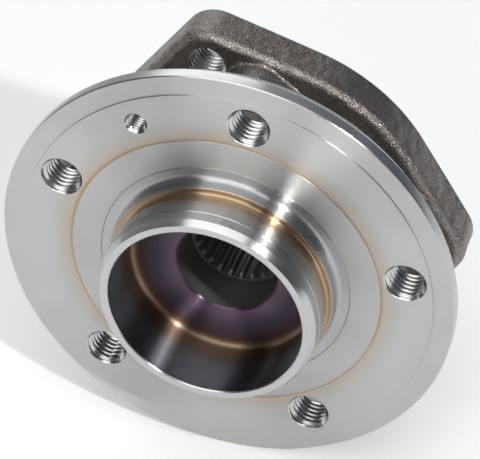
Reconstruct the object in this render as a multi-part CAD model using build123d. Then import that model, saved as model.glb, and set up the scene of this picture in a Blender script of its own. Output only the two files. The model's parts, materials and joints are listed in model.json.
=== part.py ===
from build123d import *
import math
import os

# Wheel hub unit for a driven wheel: a turning hub with the wheel flange, pilots and splined bore, and a
# fixed outer ring with a four-hole knuckle flange. Two rows of angular contact balls run between them,
# closed by a lip seal outboard and a cassette seal with a speed encoder inboard.
#
# Millimetres. Every piece is drawn on a standing axle line: Z runs outboard, zero is the face that the
# wheel and brake disc bolt to, and "depth" is counted inboard from that face. The finished pieces are
# laid down at the end, so that the axle line is Y with outboard towards -Y, and +Z is up.

# ---- balls and raceways -------------------------------------------------------------------------------
BALL_DIA = 12.7
PITCH_RADIUS = 33.0            # from the axle line to a ball's centre
BALL_SPACING = 1.9             # least gap between two neighbouring balls
ROW_SPACING = 18.3             # between the centres of the two rows
CONTACT_ANGLE = 36.0           # load line of each row, degrees from the radial plane
BALL_GAP = 0.15                # clearance of a ball in each raceway groove
SHOULDER_OPENING = 25.0        # the groove runs on past the load line by this angle, up to its shoulder

# ---- wheel flange -------------------------------------------------------------------------------------
WHEEL_BOLTS = 5
WHEEL_BOLT_CIRCLE = 108.0
WHEEL_THREAD_BORE = 10.2       # minor diameter of M12 x 1.75
WHEEL_THREAD_MOUTH = 12.6
FIRST_BOLT_ANGLE = 82.4        # clock angle of the first wheel bolt hole
SCREW_ANGLE = 36.0             # the brake disc's locating screw, from the first bolt hole
SCREW_THREAD_BORE = 5.0        # minor diameter of M6 x 1
SCREW_THREAD_MOUTH = 6.9
FLANGE_DIA = 135.4
FLANGE_THICKNESS = 10.5
RIM_WIDTH = 6.2                # the relieved band around the edge of the face
RIM_RELIEF = 0.4
RIM_DEPTH = 4.0                # where the turned edge ends and the back bevel starts
BACK_BEVEL = 4.5
INNER_FACE_DIA = 92.5          # the clean turned face inside the bolt circle
INNER_FACE_RISE = 0.12
BOSS_WIDTH = 26.0              # left across each wheel bolt hole by the pockets in the flange's back
POCKET_DEPTH = 3.0
POCKET_MARGIN = 1.6            # flange left between a pocket and the back bevel
POCKET_CORNER = 2.5

# ---- pilots and cup -----------------------------------------------------------------------------------
WHEEL_PILOT_DIA = 65.1
WHEEL_PILOT_HEIGHT = 19.05
PILOT_LEAD_LENGTH = 2.05       # the bright chamfer at the wheel pilot's end
PILOT_LEAD_DEPTH = 1.25
PILOT_TAPER_LENGTH = 2.4
PILOT_TAPER = 0.25
NECK_DEPTH = 0.95              # undercut at the wheel pilot's foot
NECK_LENGTH = 3.8
NECK_CURVE = 3.05              # the part of that length that blends out to the wheel pilot
NECK_BOW = 0.16
DISC_PILOT_STEP = 0.95         # the disc pilot stands out from the wheel pilot by this
DISC_PILOT_HEIGHT = 4.6
DISC_PILOT_FILLET = 3.48
CUP_WALL = 3.8
CUP_EDGE = 0.35
CUP_CORNER = 1.3
CUP_FLOOR_DEPTH = 0.4          # at the corner; the floor dishes down to the bore
CUP_FLOOR_DISH = 1.4

# ---- bore and spline ----------------------------------------------------------------------------------
BORE_DIA = 30.2
BORE_EDGE = 0.5
BORE_DEPTH = 15.0              # where the splines start
SPLINE_TEETH = 26
SPLINE_MINOR_DIA = 26.4
SPLINE_MAJOR_DIA = 28.8
SPLINE_FLANK = 30.0            # pressure angle of the flanks, degrees
SPLINE_LEAD = 1.2
TAIL_BORE_DIA = 32.4
TAIL_BORE_LENGTH = 4.4

# ---- hub spindle and inner ring -----------------------------------------------------------------------
INNER_RING_WALL = 4.5          # under the bottom of the inboard groove
HUB_SHOULDER = 2.3             # the seal shoulder stands inboard of the flange's back
SHOULDER_WIDTH = 10.5          # radial width of that shoulder, outside the seal land
SHOULDER_BLEND = 5.5
LAND_FILLET = 2.2
COLLAR_THICKNESS = 3.5         # rolled over the inner ring's end
COLLAR_OVERHANG = 3.5
COLLAR_ROUND = 1.6
RING_CHAMFER = 0.6

# ---- seals --------------------------------------------------------------------------------------------
SHEET = 0.8                    # pressed steel of the cases and the slinger
LABYRINTH_GAP = 1.7            # between the hub's shoulder and the outer ring's end
SEAL_ROOM = 2.9                # from the outer ring's outboard end to the cage
SEAL_SET_BACK = 0.3            # the cases and the encoder lie this far inside the ring's ends
CAGE_SEAL_GAP = 0.5
LIP_ROOM = 2.0                 # between the inboard case and the slinger
SEAL_SEAT_LENGTH = 5.8
SEAL_SEAT_STEP = 0.5
LIP_GAP = 0.05                 # running gap of a lip on its land
LIP_BODY = 2.0                 # radial thickness of the rubber on a case's edge
LIP_REACH = 2.6                # from the land to the rubber body
LIP_TIP = 0.32                 # thickness of a lip at its tip
LIP_SLANT = 0.48               # how far a lip leans along the axle line
ENCODER_THICKNESS = 0.9
ENCODER_WIDTH = 6.6
SLINGER_GAP = 0.6              # between the slinger's edge and the inboard case

# ---- cages --------------------------------------------------------------------------------------------
CAGE_WALL = 3.6
CAGE_RIM = 1.25                # beyond the balls on the closed side
CAGE_FINGER = 4.0              # past the balls' centres on the snap-in side
POCKET_GAP = 0.25

# ---- outer ring ---------------------------------------------------------------------------------------
BARREL_WALL = 5.5              # outside the seal seat
BARREL_BEVEL = 2.7
BARREL_BEVEL_DEPTH = 1.9
LOBE_HEIGHT = 9.0              # the four lobes beside the knuckle bolts, from the flange towards the wheel
LOBE_INSET = 0.2               # their block's ends lie inside the barrel by this
LOBE_CORNER = 10.5
LOBE_DRAFT = 8.0               # degrees
LOBE_EDGE = 2.0
LOBE_BOLT_GAP = 0.9            # between the block's side and a knuckle bolt's hole
KNUCKLE_ANGLE = 52.6           # clock angle of the middle of the lobed side
KNUCKLE_THICKNESS = 13.0
KNUCKLE_OFFSET = 7.25          # mounting face, inboard of the middle between the rows
KNUCKLE_BOLT_REACH = 7.3       # bolt circle outside the barrel
KNUCKLE_BOLT_ANGLE = 53.4      # each bolt, from the middle of the lobed side
KNUCKLE_THREAD_BORE = 10.2     # minor diameter of M12 x 1.75
KNUCKLE_THREAD_MOUTH = 12.4
KNUCKLE_RIM = 9.4              # flange outside the barrel, between the ears
EAR_RADIUS = 10.2              # about each knuckle bolt
KNUCKLE_ROUND = 3.0
SPIGOT_WALL = 2.0
SPIGOT_CHAMFER = 1.0

# ---- worked out from the sizes above ------------------------------------------------------------------
BALL_RADIUS = BALL_DIA / 2
GROOVE_RADIUS = BALL_RADIUS + BALL_GAP
SHOULDER_ANGLE = math.radians(CONTACT_ANGLE + SHOULDER_OPENING)
BALL_COUNT = int(math.pi / math.asin((BALL_DIA + BALL_SPACING) / (2 * PITCH_RADIUS)))
INNER_GROOVE = PITCH_RADIUS - GROOVE_RADIUS
OUTER_GROOVE = PITCH_RADIUS + GROOVE_RADIUS
INNER_LAND = PITCH_RADIUS - GROOVE_RADIUS * math.cos(SHOULDER_ANGLE)
OUTER_LAND = PITCH_RADIUS + GROOVE_RADIUS * math.cos(SHOULDER_ANGLE)
SHOULDER_REACH = GROOVE_RADIUS * math.sin(SHOULDER_ANGLE)
SEAL_SEAT = OUTER_GROOVE + SEAL_SEAT_STEP
CASE_BORE = SEAL_SEAT - SHEET
SPINDLE_RADIUS = INNER_GROOVE - INNER_RING_WALL

SHOULDER_DEPTH = FLANGE_THICKNESS + HUB_SHOULDER
OUTBOARD_END = SHOULDER_DEPTH + LABYRINTH_GAP
OUTBOARD_ROW = OUTBOARD_END + SEAL_ROOM + CAGE_RIM + BALL_RADIUS
INBOARD_ROW = OUTBOARD_ROW + ROW_SPACING
MIDDLE = (OUTBOARD_ROW + INBOARD_ROW) / 2
CASSETTE_DEPTH = INBOARD_ROW + BALL_RADIUS + CAGE_RIM + CAGE_SEAL_GAP
SLINGER_DEPTH = CASSETTE_DEPTH + SHEET + LIP_ROOM
ENCODER_DEPTH = SLINGER_DEPTH + SHEET
INBOARD_END = ENCODER_DEPTH + ENCODER_THICKNESS + SEAL_SET_BACK
TAIL_DEPTH = INBOARD_END + COLLAR_THICKNESS

WHEEL_PILOT = WHEEL_PILOT_DIA / 2
DISC_PILOT = WHEEL_PILOT + DISC_PILOT_STEP
CUP_RADIUS = WHEEL_PILOT - CUP_WALL
FLANGE_RADIUS = FLANGE_DIA / 2
BOLT_RADIUS = WHEEL_BOLT_CIRCLE / 2
BORE_RADIUS = BORE_DIA / 2

BARREL = SEAL_SEAT + BARREL_WALL
SPIGOT = SEAL_SEAT + SPIGOT_WALL
KNUCKLE_FACE = MIDDLE + KNUCKLE_OFFSET
KNUCKLE_TOP = KNUCKLE_FACE - KNUCKLE_THICKNESS
KNUCKLE_BOLT_RADIUS = BARREL + KNUCKLE_BOLT_REACH
KNUCKLE_BOLT_X = KNUCKLE_BOLT_RADIUS * math.cos(math.radians(KNUCKLE_BOLT_ANGLE))
KNUCKLE_BOLT_Y = KNUCKLE_BOLT_RADIUS * math.sin(math.radians(KNUCKLE_BOLT_ANGLE))
LOBE_HALF_WIDTH = KNUCKLE_BOLT_Y - KNUCKLE_THREAD_BORE / 2 - LOBE_BOLT_GAP

CUT = 1.0                      # how far a cutting tool runs past the face that it opens


def turned(*edges):
    """A solid of revolution about the axle line, from lines and arcs drawn as (radius, height)."""
    return revolve(Plane.XZ * make_face(edges), Axis.Z)


def groove_arc(row, outward, inboard):
    """The raceway groove of a row, from its bottom round to its shoulder, as (radius, height)."""
    middle = (PITCH_RADIUS, -row)
    start = 0.0 if outward else 180.0
    sweep = math.degrees(SHOULDER_ANGLE)
    if outward == inboard:
        sweep = -sweep
    return CenterArc(middle, GROOVE_RADIUS, start, sweep)


def threaded_hole(bore, mouth, length):
    """A cutting tool for a plain hole at a thread's minor diameter, with its chamfered mouth at the top."""
    chamfer = (mouth - bore) / 2
    hole = Cylinder(bore / 2, length + 2 * CUT, align=(Align.CENTER, Align.CENTER, Align.MAX))
    sink = Cone(bore / 2, mouth / 2 + CUT, chamfer + CUT, align=(Align.CENTER, Align.CENTER, Align.MAX))
    return Pos(0, 0, CUT) * (hole + sink)


def pilot_outline():
    """The hub's outline from the cup floor over the two pilots to the wheel-mounting face."""
    taper_foot = WHEEL_PILOT_HEIGHT - PILOT_LEAD_LENGTH - PILOT_TAPER_LENGTH
    lead_foot = WHEEL_PILOT_HEIGHT - PILOT_LEAD_LENGTH
    neck = WHEEL_PILOT - NECK_DEPTH
    neck_top = DISC_PILOT_HEIGHT + NECK_LENGTH
    neck_foot = neck_top - NECK_CURVE
    foot = DISC_PILOT + DISC_PILOT_FILLET
    corner = (CUP_RADIUS - CUP_CORNER, CUP_CORNER - CUP_FLOOR_DEPTH)
    return [
        Polyline(
            (BORE_RADIUS, -CUP_FLOOR_DEPTH - CUP_FLOOR_DISH - BORE_EDGE),
            (BORE_RADIUS + BORE_EDGE, -CUP_FLOOR_DEPTH - CUP_FLOOR_DISH),
            (CUP_RADIUS - CUP_CORNER, -CUP_FLOOR_DEPTH),
        ),
        CenterArc(corner, CUP_CORNER, -90, 90),
        Polyline(
            (CUP_RADIUS, corner[1]),
            (CUP_RADIUS, WHEEL_PILOT_HEIGHT - CUP_EDGE),
            (CUP_RADIUS + CUP_EDGE, WHEEL_PILOT_HEIGHT),
            (WHEEL_PILOT - PILOT_TAPER - PILOT_LEAD_DEPTH, WHEEL_PILOT_HEIGHT),
            (WHEEL_PILOT - PILOT_TAPER, lead_foot),
            (WHEEL_PILOT, taper_foot),
            (WHEEL_PILOT, neck_top),
        ),
        ThreePointArc(
            (WHEEL_PILOT, neck_top),
            ((WHEEL_PILOT + neck) / 2 - NECK_BOW, (neck_top + neck_foot) / 2),
            (neck, neck_foot),
        ),
        Polyline(
            (neck, neck_foot),
            (neck, DISC_PILOT_HEIGHT),
            (DISC_PILOT - CUP_EDGE, DISC_PILOT_HEIGHT),
            (DISC_PILOT, DISC_PILOT_HEIGHT - CUP_EDGE),
            (DISC_PILOT, INNER_FACE_RISE + DISC_PILOT_FILLET),
        ),
        CenterArc((foot, INNER_FACE_RISE + DISC_PILOT_FILLET), DISC_PILOT_FILLET, 180, 90),
    ]


def flange_outline():
    """The wheel flange's face, edge and back, down to the seal land."""
    foot = DISC_PILOT + DISC_PILOT_FILLET
    relief = FLANGE_RADIUS - RIM_WIDTH
    shoulder = INNER_LAND + SHOULDER_WIDTH
    return [
        Polyline(
            (foot, INNER_FACE_RISE),
            (INNER_FACE_DIA / 2, INNER_FACE_RISE),
            (INNER_FACE_DIA / 2, 0),
            (relief, 0),
            (relief, -RIM_RELIEF),
            (FLANGE_RADIUS - CUP_EDGE, -RIM_RELIEF),
            (FLANGE_RADIUS, -RIM_RELIEF - CUP_EDGE),
            (FLANGE_RADIUS, -RIM_DEPTH),
            (FLANGE_RADIUS - BACK_BEVEL, -FLANGE_THICKNESS),
            (shoulder + SHOULDER_BLEND, -FLANGE_THICKNESS),
            (shoulder, -SHOULDER_DEPTH),
            (INNER_LAND + LAND_FILLET, -SHOULDER_DEPTH),
        ),
        CenterArc((INNER_LAND + LAND_FILLET, -SHOULDER_DEPTH - LAND_FILLET), LAND_FILLET, 90, 90),
        Line((INNER_LAND, -SHOULDER_DEPTH - LAND_FILLET), (INNER_LAND, SHOULDER_REACH - OUTBOARD_ROW)),
    ]


def spindle_outline():
    """The spindle from the outboard groove to the rolled collar, and back up the bore."""
    collar = SPINDLE_RADIUS + COLLAR_OVERHANG
    tail_bore = TAIL_BORE_DIA / 2
    spline = SPLINE_MINOR_DIA / 2
    tail_top = TAIL_DEPTH - TAIL_BORE_LENGTH
    return [
        groove_arc(OUTBOARD_ROW, outward=False, inboard=False),
        Polyline(
            (INNER_GROOVE, -OUTBOARD_ROW),
            (INNER_GROOVE, -MIDDLE),
            (SPINDLE_RADIUS, -MIDDLE),
            (SPINDLE_RADIUS, -INBOARD_END),
            (collar, -INBOARD_END),
            (collar, COLLAR_ROUND - TAIL_DEPTH),
        ),
        CenterArc((collar - COLLAR_ROUND, COLLAR_ROUND - TAIL_DEPTH), COLLAR_ROUND, 0, -90),
        Polyline(
            (collar - COLLAR_ROUND, -TAIL_DEPTH),
            (tail_bore + SPLINE_LEAD, -TAIL_DEPTH),
            (tail_bore, SPLINE_LEAD - TAIL_DEPTH),
            (tail_bore, -tail_top),
            (spline + SPLINE_LEAD, -tail_top),
            (spline, SPLINE_LEAD - tail_top),
            (spline, -BORE_DEPTH - SPLINE_LEAD),
            (BORE_RADIUS, -BORE_DEPTH),
            (BORE_RADIUS, -CUP_FLOOR_DEPTH - CUP_FLOOR_DISH - BORE_EDGE),
        ),
    ]


def spline_spaces():
    """The cutting tool for the spaces between the internal spline's teeth."""
    minor = SPLINE_MINOR_DIA / 2
    major = SPLINE_MAJOR_DIA / 2
    pitch = (minor + major) / 2
    slope = math.tan(math.radians(SPLINE_FLANK))
    half_space = math.pi * pitch / SPLINE_TEETH / 2
    inner = minor - SPLINE_LEAD / 4
    low = half_space + (pitch - inner) * slope
    high = half_space - (major - pitch) * slope
    space = make_face(Polyline((inner, -low), (major, -high), (major, high), (inner, low), close=True))
    length = TAIL_DEPTH - TAIL_BORE_LENGTH + CUT - BORE_DEPTH
    return PolarLocations(0, SPLINE_TEETH) * (Pos(0, 0, -BORE_DEPTH) * extrude(space, -length))


def flange_pockets():
    """The cutting tool for the forged pockets between the bolt bosses, in the flange's back."""
    outer = FLANGE_RADIUS - BACK_BEVEL - POCKET_MARGIN
    inner = INNER_LAND + SHOULDER_WIDTH + SHOULDER_BLEND + POCKET_MARGIN
    boss = Rectangle(FLANGE_RADIUS, BOSS_WIDTH, align=(Align.MIN, Align.CENTER))
    bosses = PolarLocations(0, WHEEL_BOLTS) * boss
    pockets = Circle(outer) - Circle(inner) - bosses
    pockets = fillet(pockets.vertices(), POCKET_CORNER)
    tool = extrude(pockets, POCKET_DEPTH + CUT)
    return Pos(0, 0, -FLANGE_THICKNESS - CUT) * Rot(0, 0, FIRST_BOLT_ANGLE) * tool


def hub_flange():
    """The turning hub: wheel flange, pilots, cup, spindle, outboard groove and splined bore in one."""
    body = turned(*pilot_outline(), *flange_outline(), *spindle_outline())
    bolt_hole = threaded_hole(WHEEL_THREAD_BORE, WHEEL_THREAD_MOUTH, FLANGE_THICKNESS)
    screw_hole = threaded_hole(SCREW_THREAD_BORE, SCREW_THREAD_MOUTH, FLANGE_THICKNESS)
    holes = PolarLocations(BOLT_RADIUS, WHEEL_BOLTS, start_angle=FIRST_BOLT_ANGLE) * bolt_hole
    screw = Rot(0, 0, FIRST_BOLT_ANGLE + SCREW_ANGLE) * Pos(BOLT_RADIUS, 0, 0) * screw_hole
    return body - flange_pockets() - holes - screw - spline_spaces()


def inner_ring():
    """The separate ring with the inboard groove, pressed on the spindle against its shoulder."""
    return turned(
        Polyline(
            (INNER_LAND, -INBOARD_ROW - SHOULDER_REACH),
            (INNER_LAND, RING_CHAMFER - INBOARD_END),
            (INNER_LAND - RING_CHAMFER, -INBOARD_END),
            (SPINDLE_RADIUS + RING_CHAMFER, -INBOARD_END),
            (SPINDLE_RADIUS, RING_CHAMFER - INBOARD_END),
            (SPINDLE_RADIUS, -MIDDLE - RING_CHAMFER),
            (SPINDLE_RADIUS + RING_CHAMFER, -MIDDLE),
            (INNER_GROOVE, -MIDDLE),
            (INNER_GROOVE, -INBOARD_ROW),
        ),
        groove_arc(INBOARD_ROW, outward=False, inboard=True),
    )


def ring_barrel():
    """The outer ring's turned body: both grooves, both seal seats, the barrel and the knuckle spigot."""
    outboard_seat = OUTBOARD_END + SEAL_SEAT_LENGTH
    inboard_seat = INBOARD_END - SEAL_SEAT_LENGTH
    return turned(
        groove_arc(OUTBOARD_ROW, outward=True, inboard=True),
        Line((OUTER_LAND, -OUTBOARD_ROW - SHOULDER_REACH), (OUTER_LAND, SHOULDER_REACH - INBOARD_ROW)),
        groove_arc(INBOARD_ROW, outward=True, inboard=False),
        Polyline(
            (OUTER_GROOVE, -INBOARD_ROW),
            (OUTER_GROOVE, -inboard_seat),
            (SEAL_SEAT, -inboard_seat),
            (SEAL_SEAT, RING_CHAMFER - INBOARD_END),
            (SEAL_SEAT + RING_CHAMFER, -INBOARD_END),
            (SPIGOT - SPIGOT_CHAMFER, -INBOARD_END),
            (SPIGOT, SPIGOT_CHAMFER - INBOARD_END),
            (SPIGOT, -KNUCKLE_FACE),
            (BARREL, -KNUCKLE_FACE),
            (BARREL, -OUTBOARD_END - BARREL_BEVEL),
            (BARREL - BARREL_BEVEL_DEPTH, -OUTBOARD_END),
            (SEAL_SEAT + RING_CHAMFER, -OUTBOARD_END),
            (SEAL_SEAT, -OUTBOARD_END - RING_CHAMFER),
            (SEAL_SEAT, -outboard_seat),
            (OUTER_GROOVE, -outboard_seat),
            (OUTER_GROOVE, -OUTBOARD_ROW),
        ),
    )


def corner_points(x, y):
    """Four places, mirrored about both middle lines of the knuckle flange."""
    return Locations((x, y), (-x, y), (-x, -y), (x, -y))


def knuckle_plate():
    """The knuckle flange's plate: an ear round each bolt, joined by straight sides and by a round rim."""
    ears = corner_points(KNUCKLE_BOLT_X, KNUCKLE_BOLT_Y) * Circle(EAR_RADIUS)
    rim = Circle(BARREL + KNUCKLE_RIM) & Rectangle(2 * (BARREL + KNUCKLE_RIM), 2 * KNUCKLE_BOLT_Y)
    plate = extrude(make_hull((rim + ears).edges()), KNUCKLE_THICKNESS)
    return fillet(plate.faces().sort_by(Axis.Z)[-1].edges(), KNUCKLE_ROUND)


def ring_lobes():
    """The block whose four corners stand out from the barrel as lobes, rooted below the plate's round."""
    outline = RectangleRounded(2 * (BARREL - LOBE_INSET), 2 * LOBE_HALF_WIDTH, LOBE_CORNER)
    lobes = Pos(0, 0, -KNUCKLE_ROUND) * extrude(outline, LOBE_HEIGHT + KNUCKLE_ROUND, taper=LOBE_DRAFT)
    top = lobes.faces().sort_by(Axis.Z)[-1]
    return chamfer(top.edges(), LOBE_EDGE)


def outer_ring():
    """The fixed outer ring: barrel, lobes and knuckle flange in one, with four threaded holes."""
    plate = Pos(0, 0, -KNUCKLE_FACE) * knuckle_plate()
    lobes = Pos(0, 0, -KNUCKLE_TOP) * ring_lobes()
    hollow = Pos(0, 0, -INBOARD_END) * Cylinder(
        (BARREL + SEAL_SEAT) / 2,
        INBOARD_END,
        align=(Align.CENTER, Align.CENTER, Align.MIN),
    )
    ring = (plate + lobes - hollow) + ring_barrel()
    tool = Rot(180, 0, 0) * threaded_hole(KNUCKLE_THREAD_BORE, KNUCKLE_THREAD_MOUTH, KNUCKLE_THICKNESS)
    ring -= corner_points(KNUCKLE_BOLT_X, KNUCKLE_BOLT_Y) * (Pos(0, 0, -KNUCKLE_FACE) * tool)
    return Rot(0, 0, KNUCKLE_ANGLE) * ring


def balls(row):
    """The balls of one row, evenly spaced on the pitch circle."""
    places = PolarLocations(PITCH_RADIUS, BALL_COUNT).locations
    return [Pos(0, 0, -row) * place * Sphere(BALL_RADIUS) for place in places]


def cage(row, inboard):
    """A snap-in comb cage: a closed rim beyond the balls, and fingers between them on the other side."""
    side = -1 if inboard else 1
    rim = side * (BALL_RADIUS + CAGE_RIM)
    tip = -side * CAGE_FINGER
    inner = PITCH_RADIUS - CAGE_WALL / 2
    outer = PITCH_RADIUS + CAGE_WALL / 2
    band = turned(Polyline((inner, rim), (outer, rim), (outer, tip), (inner, tip), close=True))
    pocket = Sphere(BALL_RADIUS + POCKET_GAP)
    pockets = PolarLocations(PITCH_RADIUS, BALL_COUNT) * pocket
    return Pos(0, 0, -row) * (band - pockets)


def case_edge():
    """The radius where a case's steel ends and its rubber starts."""
    return INNER_LAND + LIP_REACH + LIP_BODY


def outboard_seal_case():
    """The pressed steel case of the outboard seal, its wall at the outer end."""
    top = -OUTBOARD_END - SEAL_SET_BACK
    foot = SEAL_SET_BACK - OUTBOARD_END - SEAL_SEAT_LENGTH
    return turned(
        Polyline(
            (case_edge(), top),
            (SEAL_SEAT, top),
            (SEAL_SEAT, foot),
            (CASE_BORE, foot),
            (CASE_BORE, top - SHEET),
            (case_edge(), top - SHEET),
            close=True,
        )
    )


def outboard_seal_lips():
    """The rubber on the outboard case: two lips on the hub's land and one on its shoulder."""
    top = -OUTBOARD_END - SEAL_SET_BACK
    back = top - SHEET
    body = INNER_LAND + LIP_REACH
    tip = INNER_LAND + LIP_GAP
    return turned(
        Polyline(
            (case_edge(), back),
            (body, back - LIP_SLANT),
            (tip, back - 2 * LIP_SLANT),
            (tip, back - 2 * LIP_SLANT + LIP_TIP),
            (body - LIP_BODY / 2, back),
            (tip, top - LIP_SLANT - LIP_TIP),
            (tip, top - LIP_SLANT),
            (body, top + LIP_TIP),
            (case_edge() - LIP_BODY / 2, top + LIP_TIP),
            (case_edge() + SHEET, -SHOULDER_DEPTH - LIP_GAP),
            (case_edge() + SHEET + LIP_TIP, -SHOULDER_DEPTH - LIP_GAP),
            (case_edge(), top),
            close=True,
        )
    )


def inboard_seal_case():
    """The pressed steel case of the inboard cassette seal, its wall next to the cage."""
    top = -CASSETTE_DEPTH
    foot = SEAL_SET_BACK - INBOARD_END
    return turned(
        Polyline(
            (case_edge(), top),
            (SEAL_SEAT, top),
            (SEAL_SEAT, foot),
            (CASE_BORE, foot),
            (CASE_BORE, top - SHEET),
            (case_edge(), top - SHEET),
            close=True,
        )
    )


def inboard_seal_lips():
    """The rubber on the inboard case: a lip on the slinger's sleeve and one on its wall."""
    top = -CASSETTE_DEPTH
    back = top - SHEET
    body = INNER_LAND + LIP_REACH
    tip = INNER_LAND + SHEET + LIP_GAP
    return turned(
        Polyline(
            (case_edge(), top),
            (body, top - LIP_TIP),
            (tip, back),
            (tip, back - LIP_TIP),
            (body, back - LIP_TIP),
            (case_edge() - LIP_BODY / 2, back - LIP_TIP),
            (case_edge() + SHEET, LIP_GAP - SLINGER_DEPTH),
            (case_edge() + SHEET + LIP_TIP, LIP_GAP - SLINGER_DEPTH),
            (case_edge(), back),
            close=True,
        )
    )


def slinger():
    """The pressed steel flinger on the inner ring: a sleeve and a wall that turns close to the case."""
    sleeve = INNER_LAND + SHEET
    return turned(
        Polyline(
            (INNER_LAND, -CASSETTE_DEPTH),
            (sleeve, -CASSETTE_DEPTH),
            (sleeve, -SLINGER_DEPTH),
            (CASE_BORE - SLINGER_GAP, -SLINGER_DEPTH),
            (CASE_BORE - SLINGER_GAP, -ENCODER_DEPTH),
            (INNER_LAND, -ENCODER_DEPTH),
            close=True,
        )
    )


def encoder_ring():
    """The magnetic rubber ring on the slinger's wall, read by the wheel speed sensor."""
    outer = CASE_BORE - SLINGER_GAP
    ring = Cylinder(outer, ENCODER_THICKNESS, align=(Align.CENTER, Align.CENTER, Align.MAX))
    bore = Cylinder(outer - ENCODER_WIDTH, ENCODER_THICKNESS, align=(Align.CENTER, Align.CENTER, Align.MAX))
    return Pos(0, 0, -ENCODER_DEPTH) * (ring - bore)


def sub_parts():
    """Every piece by its name, still on the standing axle line."""
    pieces = {
        "hub_flange": hub_flange(),
        "inner_ring": inner_ring(),
        "outer_ring": outer_ring(),
        "outboard_cage": cage(OUTBOARD_ROW, inboard=False),
        "inboard_cage": cage(INBOARD_ROW, inboard=True),
        "outboard_seal_case": outboard_seal_case(),
        "outboard_seal_lips": outboard_seal_lips(),
        "inboard_seal_case": inboard_seal_case(),
        "inboard_seal_lips": inboard_seal_lips(),
        "slinger": slinger(),
        "encoder_ring": encoder_ring(),
    }
    for row_name, row in (("outboard", OUTBOARD_ROW), ("inboard", INBOARD_ROW)):
        for number, ball in enumerate(balls(row), start=1):
            pieces[f"{row_name}_ball_{number:02d}"] = ball
    return pieces


LAID_DOWN = Rot(90, 0, 0)      # turns the standing axle line to Y, outboard towards -Y

os.makedirs("parts", exist_ok=True)
for name, piece in sub_parts().items():
    export_step(LAID_DOWN * piece, f"parts/{name}.step")
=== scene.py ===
"""Looks for a driven wheel's hub unit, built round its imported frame.

The turning hub, the fixed ring and the parts of both seals are built again as fine meshes: the hub as one
turned outline with cut threads, pockets and a splined bore, and the ring as a rough forging over a turned
core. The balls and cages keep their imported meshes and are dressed. Sizes are in millimetres, as on a drawing,
and the sizes of finishes, lamps, floor and camera are in metres. "Depth" runs inboard from the face that the
wheel bolts to, and a "clock" angle runs round the axle line from the right, over the top.
"""

import json
import logging
import math
from collections.abc import Sequence
from dataclasses import dataclass, field
from enum import Enum

import bmesh
import bpy
import numpy as np
from mathutils import Matrix, Vector, noise

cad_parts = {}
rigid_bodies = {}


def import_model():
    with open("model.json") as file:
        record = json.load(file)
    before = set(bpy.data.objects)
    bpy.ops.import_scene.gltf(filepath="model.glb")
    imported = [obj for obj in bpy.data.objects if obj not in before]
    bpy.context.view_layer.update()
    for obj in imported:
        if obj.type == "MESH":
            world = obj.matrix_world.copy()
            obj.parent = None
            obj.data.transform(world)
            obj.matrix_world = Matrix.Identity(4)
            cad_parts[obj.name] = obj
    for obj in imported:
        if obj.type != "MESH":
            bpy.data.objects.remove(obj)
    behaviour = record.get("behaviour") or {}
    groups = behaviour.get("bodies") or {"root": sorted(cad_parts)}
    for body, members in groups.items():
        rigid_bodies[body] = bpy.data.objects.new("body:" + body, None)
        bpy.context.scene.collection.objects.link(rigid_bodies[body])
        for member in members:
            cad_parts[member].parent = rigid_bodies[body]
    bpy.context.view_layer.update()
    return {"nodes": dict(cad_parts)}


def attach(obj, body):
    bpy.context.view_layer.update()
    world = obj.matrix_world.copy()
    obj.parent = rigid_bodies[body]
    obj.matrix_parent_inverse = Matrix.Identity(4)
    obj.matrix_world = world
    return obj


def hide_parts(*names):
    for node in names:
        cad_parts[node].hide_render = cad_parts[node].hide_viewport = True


LOG = logging.getLogger("hub_unit")
MM = 0.001
TURNED_CREASE = 24.0
PRESSED_CREASE = 30.0
FORGED_CREASE = 38.0
ROUND_COLUMNS = 240
WHITE = (1.0, 1.0, 1.0)
Colour = tuple[float, float, float]
Point2 = tuple[float, float]
Socket = bpy.types.NodeSocket


class Body(Enum):
    """The bodies that the pieces ride on."""

    HOUSING = "housing"
    HUB = "hub"


class Slot(Enum):
    """Names of the material slots that the pieces stand for, handed round but not used. The balls and cages
    keep those of their nodes.
    """

    TURNED = "turned_steel"
    FORGED = "forged_steel"
    GROUND = "ground_steel"
    PRESSED = "pressed_steel"
    SEAL = "seal_rubber"
    ENCODER = "encoder_rubber"


class Zone(Enum):
    """The differently finished stretches of a turned outline, numbered as the mesh's material slots."""

    FACE = 0
    OUTER_FACE = 1
    PILOT = 2
    CUP = 3
    BORE = 4
    BACK = 5
    GROUND = 6
    EDGE = 7
    FILLET = 8


# ---- shader building -----------------------------------------------------------------------------


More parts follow.
